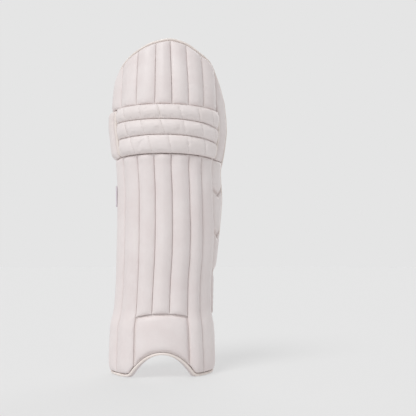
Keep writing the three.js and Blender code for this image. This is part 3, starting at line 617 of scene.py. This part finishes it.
frontLeather = coatedLeather("frontCoatedLeather", "#E9E1E0", "#E4DAD9", "#DFD4D1")
rollLeather = coatedLeather("rollCoatedLeather", "#ECE4E3", "#E6DDDB", "#D8CCC8", grain=1.6)
pipingLeather = coatedLeather("pipingCoatedLeather", "#EFE6E1", "#E9DFD9", "#DBCEC7", grain=1.4, roughness=0.42)
smoothLining = wovenLining("smoothPolyesterLining", "#EDE5E4", "#E6DDDD", "#CFC4C4")
brushedLining = wovenLining("brushedPolyesterLining", "#EFEAF1", "#E8E2EA", "#CAC1CB", thread=2.0, sheen=0.4)
creamLining = wovenLining("creamPolyesterLining", "#EADFDE", "#E3D7D6", "#C9BCB9", thread=2.0, sheen=0.4)
meshLining = spacerMesh("knittedSpacerMesh", "#EFEAF1", "#E8E2EA", "#B7AEB9")
webbing = elasticWeb("elasticWebbing", "#EADFDD", "#E3D7D5", "#C3B5B2")
tabTape = wovenLining("hookTapeBacking", "#E3DCE2", "#DBD3DA", "#B9AFB8", thread=1.2, ribbed=0.6)
thread = sewingThread("polyesterThread", "#DDD3CE")
print("materials made:", len(bpy.data.materials))

# Backing

# the piping and a gap beside it lie between the outline and the pieces
bindingWidth = 2 * pad["piping"] + pad["layerGap"] + 1
bindingAngle = degreesFor(bindingWidth)
seamAngle = degreesFor(pad["seam"]) / 2
innerMargin = pad["innerGap"] + pad["piping"]
innerAngle = degreesFor(innerMargin)


def insideLeft(z):
    return leftEdge(z) + bindingAngle


def insideRight(z):
    return rightEdge(z) - bindingAngle


def makeBacking():
    s, t = np.meshgrid(np.linspace(0, 1, 121), np.linspace(0, 1, 161))
    angle, z = gridBetween(s, t, leftEdge, rightEdge, footEdge, topEdge)
    # the rim is rounded: both faces draw in over the last 3 mm
    width = np.radians(rightEdge(z) - leftEdge(z)) * pad["radius"]
    height = topEdge(angle) - footEdge(angle)
    toRim = np.minimum(np.minimum(s, 1 - s) * width, np.minimum(t, 1 - t) * height)
    half = pad["wall"] / 2 * (0.55 + 0.45 * rise(toRim, 3))
    middle = -pad["wall"] / 2
    cloth = np.stack([s * width, z], axis=-1) / 100
    # near the rim the lining is painted darker, as painted shade under the piping
    piece = closedBody("carrier_backing", onPad(angle, z, middle + half), onPad(angle, z, middle - half),
                       smoothLining, np.exp(-toRim / 3), cloth)
    settle(piece, ["carrier_shell"])


makeBacking()


edgePiping = dict(footCorner=40, topCorner=572, spacing=2.5, lift=0.3)


# Piping round the whole outline: up the inner side, over the top, down the outer side and back
# round the foot, a little uneven where it is drawn round the corners
def makeEdgePiping():
    inset = pad["piping"] + pad["layerGap"]
    insetAngle = degreesFor(inset)
    low, high = insetLine(footEdge, inset, 1), insetLine(topEdge, inset, -1)
    (footLeft, footRight), (topLeft, topRight) = (
        (leftEdge(z) + insetAngle, rightEdge(z) - insetAngle)
        for z in (edgePiping["footCorner"], edgePiping["topCorner"]))
    up = np.linspace(low(footLeft), high(topLeft), 60)
    over = np.linspace(topLeft, topRight, 120)
    down = np.linspace(high(topRight), low(footRight), 60)
    under = np.linspace(footRight, footLeft, 160)
    angle = np.concatenate([leftEdge(up) + insetAngle, over[1:-1], rightEdge(down) - insetAngle, under[1:-1]])
    z = np.concatenate([up, high(over[1:-1]), down, low(under[1:-1])])
    angle, z = evenly(angle, z, edgePiping["spacing"])
    for _ in range(3):  # soften the corners
        angle = (np.roll(angle, 1) + 2 * angle + np.roll(angle, -1)) / 4
        z = (np.roll(z, 1) + 2 * z + np.roll(z, -1)) / 4
    path = onPad(angle, z, edgePiping["lift"] + pad["piping"])
    along = np.arange(len(angle)) * edgePiping["spacing"]
    radius = pad["piping"] * (0.98 + 0.025 * noise(along / 6, 0 * along, 3))
    roll = tube("edge_piping_roll", path, outwardAt(angle, z), radius, pipingLeather, ring=True)
    settle(roll, ["edge_piping"])


makeEdgePiping()

# Front: shin ribs, instep panel, knee rolls, top ribs and the side

shinCreases = dict(knee=[-58, -34.3, -14, 5, 25.5, 43, 65], foot=[-56, -31, -12, 8.5, 31, 49.5, 84])
topCreases = dict(knee=[-54, -32, -11.5, 6, 23.5, 42, 66], top=[-57.5, -34, -13, 2.5, 20, 39.5, 62])
kneeSeams = dict(
    middle=[0.646, 0.7, 0.746, 0.79],
    leftDroop=[0.003, 0.007, 0.002, 0],
    rightDroop=[0.004, 0.012, 0.013, 0.002],
)
knee = dict(leftEnd=-58.5, rightEnd=66, droopAngle=66, flapStart=-66, flapPiping=-62.2, flapPipingRadius=3.9,
            pipingLift=3.4, base=8.5, crown=7.5, radius=112, lineReach=9)
instep = dict(top=0.182, drop=10, stitchLine=2.5)


def kneeSeam(index):
    def height(angle):
        droop = np.where(angle < 0, kneeSeams["leftDroop"][index], kneeSeams["rightDroop"][index])
        return pad["height"] * (kneeSeams["middle"][index] - droop * (angle / knee["droopAngle"]) ** 2)
    return height


kneeBottom, kneeTop = kneeSeam(0), kneeSeam(3)


def shinCrease(index, z):
    share = np.clip(z / kneeBottom(0), 0, 1)  # 0 at the foot, 1 at the knee
    return mix(shinCreases["foot"][index], shinCreases["knee"][index], share)


def topCrease(index, z):
    share = np.clip((pad["height"] - z) / (pad["height"] - kneeTop(0)), 0, 1)
    return mix(topCreases["top"][index], topCreases["knee"][index], share)


def instepTop(angle):
    return pad["height"] * instep["top"] - instep["drop"] * (angle / pad["archAngle"]) ** 2


# A side of a rib, beside one of its creases
def beside(crease, index, side):
    return lambda z: crease(index, z) + side * seamAngle


# Seven ribs side by side between their creases. lowEnds gives each one's lower line and its rounding.
def makeRibs(part, crease, rows, seed, lowEnds, high, **form):
    for i, (low, lowWidth) in enumerate(lowEnds):
        shape = dict(left=beside(crease, i - 1, 1) if i else insideLeft,
                     right=lambda z, i=i: np.minimum(crease(i, z) - seamAngle, insideRight(z)),
                     low=low, high=high, lowWidth=lowWidth, power=1.5, uneven=0.3, seed=seed + i, **form)
        paddedPiece("%s_rib_%d" % (part, i + 1), shape, frontLeather, (27, rows))


def makeShinRibs():
    toFoot = (insetLine(footEdge, bindingWidth + 0.6, 1), 22)
    toInstep = (above(instepTop, 0.6), 12)
    makeRibs("shin", shinCrease, 150, 10, [toFoot] * 2 + [toInstep] * 3 + [toFoot] * 2, above(kneeBottom, -0.8),
             base=4.6, crown=6.8, highWidth=14)


def makeTopRibs():
    makeRibs("top", topCrease, 91, 51, [(above(kneeTop, 0.8), 12)] * 7, insetLine(topEdge, bindingWidth, -1),
             base=4.2, crown=6, highWidth=16)


def makeInstepPanel():
    margin = instep["stitchLine"]
    shape = dict(left=beside(shinCrease, 1, 1), right=beside(shinCrease, 4, -1),
                 low=insetLine(footEdge, bindingWidth, 1), high=instepTop, crown=4.6, sideWidth=13, endWidth=11,
                 sideMargin=margin, lowMargin=margin, highMargin=margin, seed=21, uneven=0.25)
    paddedPiece("instep_panel", shape, frontLeather, (71, 61))


# Lines of stitching that slant across each knee roll: degrees at its upper and its lower seam
rollLines = dict(
    knee_roll_upper=dict(top=[-46, -27.3, -8.3, 11.2, 31, 50], bottom=[-42, -24, -4.7, 15.8, 35, 54]),
    knee_roll_middle=dict(top=[-44, -25, -5.6, 16.7, 36, 55], bottom=[-40, -21.1, -1.2, 18.6, 39, 58]),
    knee_roll_lower=dict(top=[-57, -38.4, -18.3, 1.5, 20.4, 40.9], bottom=[-52, -34.1, -14.6, 5, 23, 43.5]),
)


def makeKneeRolls():
    for index, name in enumerate(["knee_roll_lower", "knee_roll_middle", "knee_roll_upper"]):
        low, high = kneeSeam(index), kneeSeam(index + 1)
        lines = rollLines[name]

        def pulledIn(angle, z, low=low, high=high, lines=lines):
            up = (z - low(angle)) / (high(angle) - low(angle))
            pulled = 0
            for top, bottom in zip(lines["top"], lines["bottom"]):
                away = np.abs(angle - mix(bottom, top, up)) * math.radians(1) * knee["radius"]
                pulled = np.maximum(pulled, 1 - rise(away, knee["lineReach"], 2.2))
            return pulled

        shape = dict(
            left=always(knee["leftEnd"]), right=always(knee["rightEnd"]),
            low=above(low, 0.3), high=above(high, -0.3),
            base=knee["base"], crown=knee["crown"], sideWidth=12, endWidth=17, endPower=1.7, power=1.8,
            pulled=pulledIn, pullDepth=2.6, seed=31 + index, uneven=0.5, pucker=0.4,
        )
        paddedPiece(name, shape, rollLeather, (201, 35), growth=0.014)


def makeKneeFlap():
    shape = dict(left=insideLeft, right=always(knee["flapStart"]), low=kneeBottom, high=kneeTop, crown=12.5,
                 power=2.4, endWidth=12, seed=41)
    paddedPiece("knee_flap", shape, rollLeather, (25, 71))


def makeKneeEndRolls():
    up = np.linspace(0, 1, 60)
    outer = smoothTable([0, 0.25, 0.6, 0.85, 1], [69, 70, 71.2, 70.2, 68.8], up)
    for name, angle, radius in (("knee_roll_end_piping", outer, pad["endPiping"]),
                                ("knee_flap_piping", knee["flapPiping"] + 0 * up, knee["flapPipingRadius"])):
        z = mix(kneeBottom(angle) + radius, kneeTop(angle) - radius, up)
        toEnd = np.minimum(up, 1 - up)
        path = onPad(angle, z, 0.4 + radius + knee["pipingLift"] * rise(toEnd, 0.12))
        taper = radius * (0.35 + 0.65 * rise(toEnd * 100, 4))
        roll = tube(name + "_roll", path, outwardAt(angle, z), taper, pipingLeather)
        settle(roll, [name])


def makeSidePanel():
    heights, degrees = [0.6, 0.78, 0.819, 1], [74.5, 74.2, 68, 63.5]
    shape = dict(left=lambda z: smoothTable(heights, degrees, z / pad["height"]) + seamAngle, right=insideRight,
                 low=always(kneeBottom(knee["rightEnd"])), high=insetLine(topEdge, bindingWidth, -1),
                 crown=5, sideWidth=10, endWidth=12, seed=61, uneven=0.3)
    paddedPiece("outer_side_panel", shape, frontLeather, (33, 141))


def makeWing():
    seams = [0.17, 0.313, 0.424, 0.551, float(kneeBottom(knee["rightEnd"])) / pad["height"]]

    left = beside(shinCrease, 6, 1)

    def chevron(level, dip, gap):
        z = level * pad["height"]
        middle, half = (left(z) + insideRight(z)) / 2, (insideRight(z) - left(z)) / 2
        return lambda angle: z - gap - dip * pad["height"] * (1 - np.abs((angle - middle) / half))

    for i in range(4):
        shape = dict(
            left=left, right=insideRight,
            low=chevron(seams[i], 0.02 if i else 0, 0),
            high=chevron(seams[i + 1], 0.02 if i < 3 else 0, 0.8),
            crown=8, endWidth=15, power=1.9, lift=0.3, seed=71 + i, uneven=0.35,
            lowMargin=6.5 if i else 0, pucker=0.45,
        )
        paddedPiece("wing_segment_%d" % (4 - i), shape, rollLeather, (27, 71))


makeShinRibs()
makeInstepPanel()
makeKneeRolls()
makeKneeFlap()
makeKneeEndRolls()
makeTopRibs()
makeSidePanel()
makeWing()
print("front made:", len(faces), "padded faces")

# Inner face: bolsters, linings, bands and the panel inside the top hat


# Sides of an inner piece, and its ends between two shares of the pad's height
def innerShape(first, last, low, high, **more):
    shape = dict(left=lambda z: np.maximum(first, leftEdge(z) + innerAngle),
                 right=lambda z: np.minimum(last, rightEdge(z) - innerAngle),
                 low=low if callable(low) else always(low * pad["height"] + pad["innerGap"]),
                 high=always(high * pad["height"] - pad["innerGap"]), side=-1)
    return dict(shape, **more)


def makeInnerPieces():
    for i, (name, first, last, finish) in enumerate([("bolster_inner", -78, -24.5, brushedLining),
                                                     ("bolster_centre", -22, 20, creamLining),
                                                     ("bolster_outer", 22.5, 76, brushedLining)]):
        shape = innerShape(first, last, 0.2, 0.652, crown=15, power=2.2, endWidth=24, seed=81 + i, uneven=0.9,
                           pucker=0.5)
        paddedPiece(name, shape, finish, (41, 141), growth=0.06)
    for i, (name, first, last) in enumerate([("lobe_lining_inner", -72, -32), ("instep_lining", -29.5, 31),
                                             ("lobe_lining_outer", 33.5, 72)]):
        shape = innerShape(first, last, insetLine(footEdge, innerMargin, 1), 0.168, crown=3.2, sideWidth=8,
                           endWidth=8, seed=91 + i, uneven=0.4)
        paddedPiece(name, shape, smoothLining, (35, 51))
    for i, (name, first, last, crown, finish) in enumerate([
            ("knee_lining_inner", -89, -28.5, 1.6, meshLining), ("knee_pad", -26.5, 22, 9, creamLining),
            ("knee_lining_outer", 24, 90, 1.6, meshLining)]):
        shape = innerShape(first, last, 0.689, 0.796, crown=crown, sideWidth=12, endWidth=12, seed=101 + i,
                           uneven=0.3)
        paddedPiece(name, shape, finish, (51, 41),
                    growth=0.03 if name == "knee_pad" else 0.0)


def makeBands():
    for name, low, gap, high, first, last, crown, finish, slot in [
            ("hem_band", 0.168, 0, 0.2, -74, 74, 3.5, smoothLining, "smooth_lining"),
            ("head_band", 0.652, pad["innerGap"], 0.689, -84, 76, 7, brushedLining, "brushed_lining")]:
        shape = dict(left=always(first), right=always(last), low=always(low * pad["height"] + gap),
                     high=always(high * pad["height"] - pad["innerGap"]), side=-1, crown=crown,
                     sideWidth=6, endWidth=9, seed=111, uneven=0.5, pucker=0.8)
        paddedPiece(name, shape, finish, (161, 19))


def makeTopBack():
    bottom = 0.796 * pad["height"]

    def share(z):
        return np.clip((z - bottom) / (pad["height"] - bottom), 0, 1)

    def left(z):
        return mix(-26.5, -43, share(z))

    def right(z):
        return mix(22, 33, share(z))

    ends = dict(low=always(bottom + 0.2), high=insetLine(topEdge, bindingWidth, -1), side=-1)
    panel = dict(left=left, right=right, crown=8, sideWidth=14, lowWidth=9, highWidth=18, seed=121, uneven=0.5,
                 pucker=0.6, **ends)
    paddedPiece("top_back_panel", panel, smoothLining, (51, 61), growth=0.02)
    gap = 0.7  # degrees between the panel and the linings beside it
    for name, first, last in (("inner", lambda z: leftEdge(z) + innerAngle, lambda z: left(z) - gap),
                              ("outer", lambda z: right(z) + gap, lambda z: rightEdge(z) - innerAngle)):
        shape = dict(left=first, right=last, crown=1.6, sideWidth=7, endWidth=7, seed=125, uneven=0.35, pucker=0.4,
                     **ends)
        paddedPiece("top_lining_" + name, shape, smoothLining, (41, 61))


makeInnerPieces()
makeBands()
makeTopBack()
print("inner face made")

# Straps

strap = dict(thick=2.5, kneeWidth=27, calfWidth=53, ankleWidth=60, bow=6, bowMiddle=0.1, bowReach=1.05,
             kneeLevel=0.705, calfLevel=0.53, ankleLevel=0.243, kneeDrop=0.018,
             calfEnd=-0.86, calfTip=-0.1, tabDepth=11.4, tabReach=9.5, ankleEnd=-0.64, ankleTip=-0.95,
             landingEnd=-0.52, kneeJoin=-0.42, join=1)
anchorAngles = [78.5, 84]  # where the straps are sewn on, under the backing's outer edge
landingAngles = [-80.5, -85]


# Points across the open back at one height; layer 0 lies next to the leg and layer 1 behind it
def acrossBack(z, layer, shares):
    axis = onPad(0, z, 0)[0]
    rim = onPad(leftEdge(z), z, -pad["wall"])[1]
    base = rim - strap["thick"] / 2 + layer * (strap["thick"] + pad["layerGap"])
    shares = np.asarray(shares, float)
    bow = np.maximum(strap["bow"] * (1 - ((shares - strap["bowMiddle"]) / strap["bowReach"]) ** 2), 0)
    return np.stack([axis + shares * pad["radius"], base + bow, np.full_like(shares, z)], axis=-1)


# Start of a strap, sewn to the backing's inner face at some angles, under mm deeper
def anchored(z, angles, under=0.0):
    depth = seatDepth(-1) - under - pad["layerGap"] - strap["thick"] / 2
    return onPad(np.array(angles, float), z, depth)


# A flat band between a lower and an upper route. Its two faces draw together over the last
# millimetre of its edges, and edge lines at a share of the length may narrow it.
def band(name, route, low, high, finish, edges=None, count=90, columns=15, ripple=0.25, seed=1):
    shares = np.linspace(0, 1, count)
    lower, upper = throughPoints(route(low), shares), throughPoints(route(high), shares)
    start, stop = edges(shares) if edges else (0 * shares, 1 + 0 * shares)
    s = gathered(columns, 0.7)
    up = start[:, None] + (stop - start)[:, None] * s
    middle = lower[:, None] + (upper - lower)[:, None] * up[:, :, None]
    forward = np.gradient((lower + upper) / 2, axis=0)
    across = unit(np.stack([forward[:, 1], -forward[:, 0], 0 * forward[:, 0]], axis=-1))
    along = lengthsAlong((lower + upper) / 2)
    width = (stop - start)[:, None] * (high - low)
    toEdge = np.minimum(s, 1 - s) * width
    toEnd = np.minimum(along, along[-1] - along)[:, None]
    half = strap["thick"] / 2 * (0.45 + 0.55 * rise(np.minimum(toEdge, toEnd), 1.2))
    wave = ripple * noise(up * (high - low) / 14, along[:, None] / 16, seed) * np.clip(toEnd / 12, 0, 1)
    front = middle + across[:, None] * (half + wave)[:, :, None]
    back = middle - across[:, None] * (half - wave)[:, :, None]
    cloth = np.stack([up * (high - low), np.broadcast_to(along[:, None], up.shape)], axis=-1) / 100
    # the band is painted darker towards its edges, as painted shade
    piece = closedBody(name + "_band", front, back, finish, np.exp(-toEdge / 1.5), cloth)
    settle(piece, [name])
    # the band's side that faces away from the leg's axis
    outside = across * np.sign(((lower - legAxis)[:, :2] * across[:, :2]).sum(1))[:, None]
    return dict(lower=lower, upper=upper, out=outside, along=along, start=start, stop=stop)


# Stitches along a band, at a share of its width, between two lengths from its start
def seamAlong(strip, share, first, last, pitch=4.0):
    where = np.arange(first, last, pitch)
    up = strip["start"] + (strip["stop"] - strip["start"]) * share
    path = mix(strip["lower"], strip["upper"], up[:, None]) + strip["out"] * (strap["thick"] / 2 + 0.1)
    points = atLengths(where, strip["along"], path)
    ahead = unit(atLengths(where + 0.5, strip["along"], path) - points)
    return stitchRow(points, ahead, unit(atLengths(where, strip["along"], strip["out"])), length=2.8, thick=0.36)


bandSeams = []


def around(share, width):
    return share * pad["height"] - width / 2, share * pad["height"] + width / 2


def makeCalfStrap():
    low, high = around(strap["calfLevel"], strap["calfWidth"])
    reach = [0.85, 0.6, 0.2, -0.2, -0.6, strap["calfEnd"]]
    band("calf_strap", lambda z: np.vstack([anchored(z, anchorAngles), acrossBack(z, 0, reach)]), low, high,
         webbing, seed=131)
    outside = 2 * pad["piping"] + 3 * pad["layerGap"] + strap["thick"] / 2
    over = strap["tabDepth"]
    binding = degreesFor(2 * pad["piping"] + pad["layerGap"] + 1.6)

    def tabRoute(z):
        edge = leftEdge(z)
        return np.vstack([
            acrossBack(z, 1, [strap["calfTip"], -0.4, -0.7, -0.92]),
            onPad(edge - degreesFor(2.5 + strap["thick"] / 2), z, outside * 0.4),
            onPad(edge, z, outside), onPad(edge + binding, z, over - 1), onPad(edge + binding + 5, z, over + 0.4),
            onPad(edge + binding + strap["tabReach"], z, over + 1)])

    def tabEdges(share):
        past = np.clip(share / 0.18, 0, 1)
        return mix(0.65, 0.1, past), mix(0.72, 0.92, past)

    tab = band("calf_tab", tabRoute, low, high, tabTape, tabEdges, count=120, seed=132, ripple=0.15)
    for share in (0.07, 0.93):
        bandSeams.append(seamAlong(tab, share, 26, tab["along"][-1] - 3))


def makeAnkleStrap():
    low, high = around(strap["ankleLevel"], strap["ankleWidth"])

    def landing(z):
        return np.vstack([anchored(z, landingAngles), acrossBack(z, 0, [-0.8, -0.7, strap["landingEnd"]])])

    strip = band("ankle_landing", landing, low + 3, high - 3, smoothLining, count=40, seed=133)
    bandSeams.extend(seamAlong(strip, share, 4, strip["along"][-1] - 3) for share in (0.06, 0.94))
    reach = [0.85, 0.6, 0.2, -0.2, strap["ankleEnd"]]
    band("ankle_strap", lambda z: np.vstack([anchored(z, anchorAngles), acrossBack(z, 1, reach)]), low, high,
         webbing, seed=134)
    start = strap["ankleEnd"] - strap["join"] / pad["radius"]

    def tabEdges(share):
        half = 0.475 * np.sqrt(np.maximum(1 - share ** 1.6, 0.01))
        return 0.5 - half, 0.5 + half

    tip = [start, mix(start, strap["ankleTip"], 0.5), strap["ankleTip"]]
    band("ankle_tab", lambda z: acrossBack(z, 1, tip), low, high, tabTape, tabEdges, count=40, seed=135,
         ripple=0.1)


def makeKneeStrap():
    low, high = around(strap["kneeLevel"], strap["kneeWidth"])
    drop = strap["kneeDrop"] * pad["height"]

    def sloped(points):
        points[:, 2] -= drop * (1 - (points[:, 0] - legAxis[0]) / pad["radius"]) / 2
        return points

    under = pad["skin"] + 1.6 + pad["layerGap"]
    reach = [0.82, 0.6, 0.2, -0.1, strap["kneeJoin"]]
    band("knee_strap", lambda z: sloped(np.vstack([anchored(z, anchorAngles, under), acrossBack(z, 1, reach)])),
         low, high, webbing, seed=136)
    start = strap["kneeJoin"] - strap["join"] / pad["radius"]
    strip = band("knee_strap_end", lambda z: sloped(acrossBack(z, 1, [start, -0.65, -0.85, -1.02])), low - 0.5,
                 high + 0.5, smoothLining, count=40, seed=137)
    bandSeams.extend(seamAlong(strip, share, 3, strip["along"][-1] - 3) for share in (0.1, 0.9))


makeCalfStrap()
makeAnkleStrap()
makeKneeStrap()
print("straps made")

# Stitching


def makeStitching():
    rows = [seamOver(faces["instep_panel"], s, t)
            for s, t in ((0.022, seamRun), (0.978, seamRun), (seamRun, 0.975), (seamRun, 0.03))]
    first, last = knee["leftEnd"], knee["rightEnd"]
    for name, lines in rollLines.items():
        for top, bottom in zip(lines["top"], lines["bottom"]):
            start, stop = (bottom - first) / (last - first), (top - first) / (last - first)
            rows.append(seamOver(faces[name], mix(start, stop, seamRun), 0.04 + 0.92 * seamRun, lift=0.15))
    for i in range(1, 4):
        rows.extend(seamOver(faces["wing_segment_%d" % i], 0.03 + 0.94 * seamRun, t) for t in (0.07, 0.02))
    stitching("front_stitching", rows)
    rows = [seamOver(faces[name], s, seamRun) for name in ("top_back_panel", "knee_pad") for s in (0.03, 0.97)]
    rows.extend(seamOver(faces[name], seamRun, t) for name in ("hem_band", "head_band") for t in (0.12, 0.88))
    stitching("inner_stitching", rows)
    stitching("strap_stitching", bandSeams)


makeStitching()
print("stitching made")

# Studio, in metres. The camera stands straight in front of the pad, at cameraPlace across and up, and
# looks at aim, the middle of the photograph's frame. frameWidth is what the frame spans at the pad's front.
studio = dict(cameraPlace=(0, 0.24), distance=1.4, frontPlane=-0.017, aim=(0.082, 0.3385), frameWidth=0.852,
              sensor=36, floorRadius=14, domeRadius=14.5, floorTone="#959595", floorGlow=0.585,
              backdropTone="#E5E5E5", roomLight=0.6)
lights = dict(keyLight=dict(azimuth=-36, rise=50, strength=1.42, softness=26),
              backLight=dict(azimuth=165, rise=30, strength=0.95, softness=60))


# A surface of revolution about the vertical axis, through a profile of distances and heights
def turned(name, distance, height, finish, steps=97):
    turn = np.linspace(0, 2 * math.pi, steps)[:-1]
    points = np.stack([np.outer(distance, np.cos(turn)), np.outer(distance, np.sin(turn)),
                       np.outer(height, np.ones(steps - 1))], axis=-1)
    quads = cells(numbered(len(distance), steps - 1, closeColumns=True))
    piece = makeObject(name, points.reshape(-1, 3), quads, finish, closed=False)
    return piece


def makeStudio():
    turned("paper_floor", np.array([0.001, 0.5, 2, studio["floorRadius"]]), np.zeros(4),
           studioPaper("studioPaper", studio["floorTone"], studio["backdropTone"], studio["floorGlow"]))
    arc = np.linspace(-0.02, math.pi / 2 - 0.001, 25)
    dome = turned("backdrop_dome", studio["domeRadius"] * np.cos(arc), studio["domeRadius"] * np.sin(arc),
                  studioPaper("litBackdrop", "#000000", studio["backdropTone"], 1.0))
    # the dome is only a backdrop: light from the room and the lamps passes it
    dome.visible_diffuse = dome.visible_glossy = dome.visible_transmission = dome.visible_shadow = False

    world = bpy.data.worlds.new("softRoom")
    bpy.context.scene.world = world
    world.use_nodes = True
    room = world.node_tree.nodes["Background"]
    room.inputs["Color"].default_value = linear("#FFFFFF")
    room.inputs["Strength"].default_value = studio["roomLight"]

    for name, place in lights.items():
        light = bpy.data.lights.new(name, "SUN")
        light.energy = place["strength"]
        light.angle = math.radians(place["softness"])
        lamp = bpy.data.objects.new(name, light)
        bpy.context.collection.objects.link(lamp)
        # azimuth 0 shines from the front and a negative one from the inner side
        lamp.rotation_euler = (math.radians(90 - place["rise"]), 0, math.radians(place["azimuth"]))


def makeCamera():
    camera = bpy.data.cameras.new("camera")
    camera.sensor_width = studio["sensor"]
    camera.lens = studio["sensor"] * studio["distance"] / studio["frameWidth"]
    holder = bpy.data.objects.new("camera", camera)
    bpy.context.collection.objects.link(holder)
    (across, up), distance = studio["cameraPlace"], studio["distance"]
    holder.location = (across, studio["frontPlane"] - distance, up)
    holder.rotation_euler = (math.radians(90) + math.atan2(studio["aim"][1] - up, distance), 0,
                             -math.atan2(studio["aim"][0] - across, distance))
    bpy.context.scene.camera = holder


makeStudio()
makeCamera()
bpy.context.scene.view_settings.view_transform = "Standard"
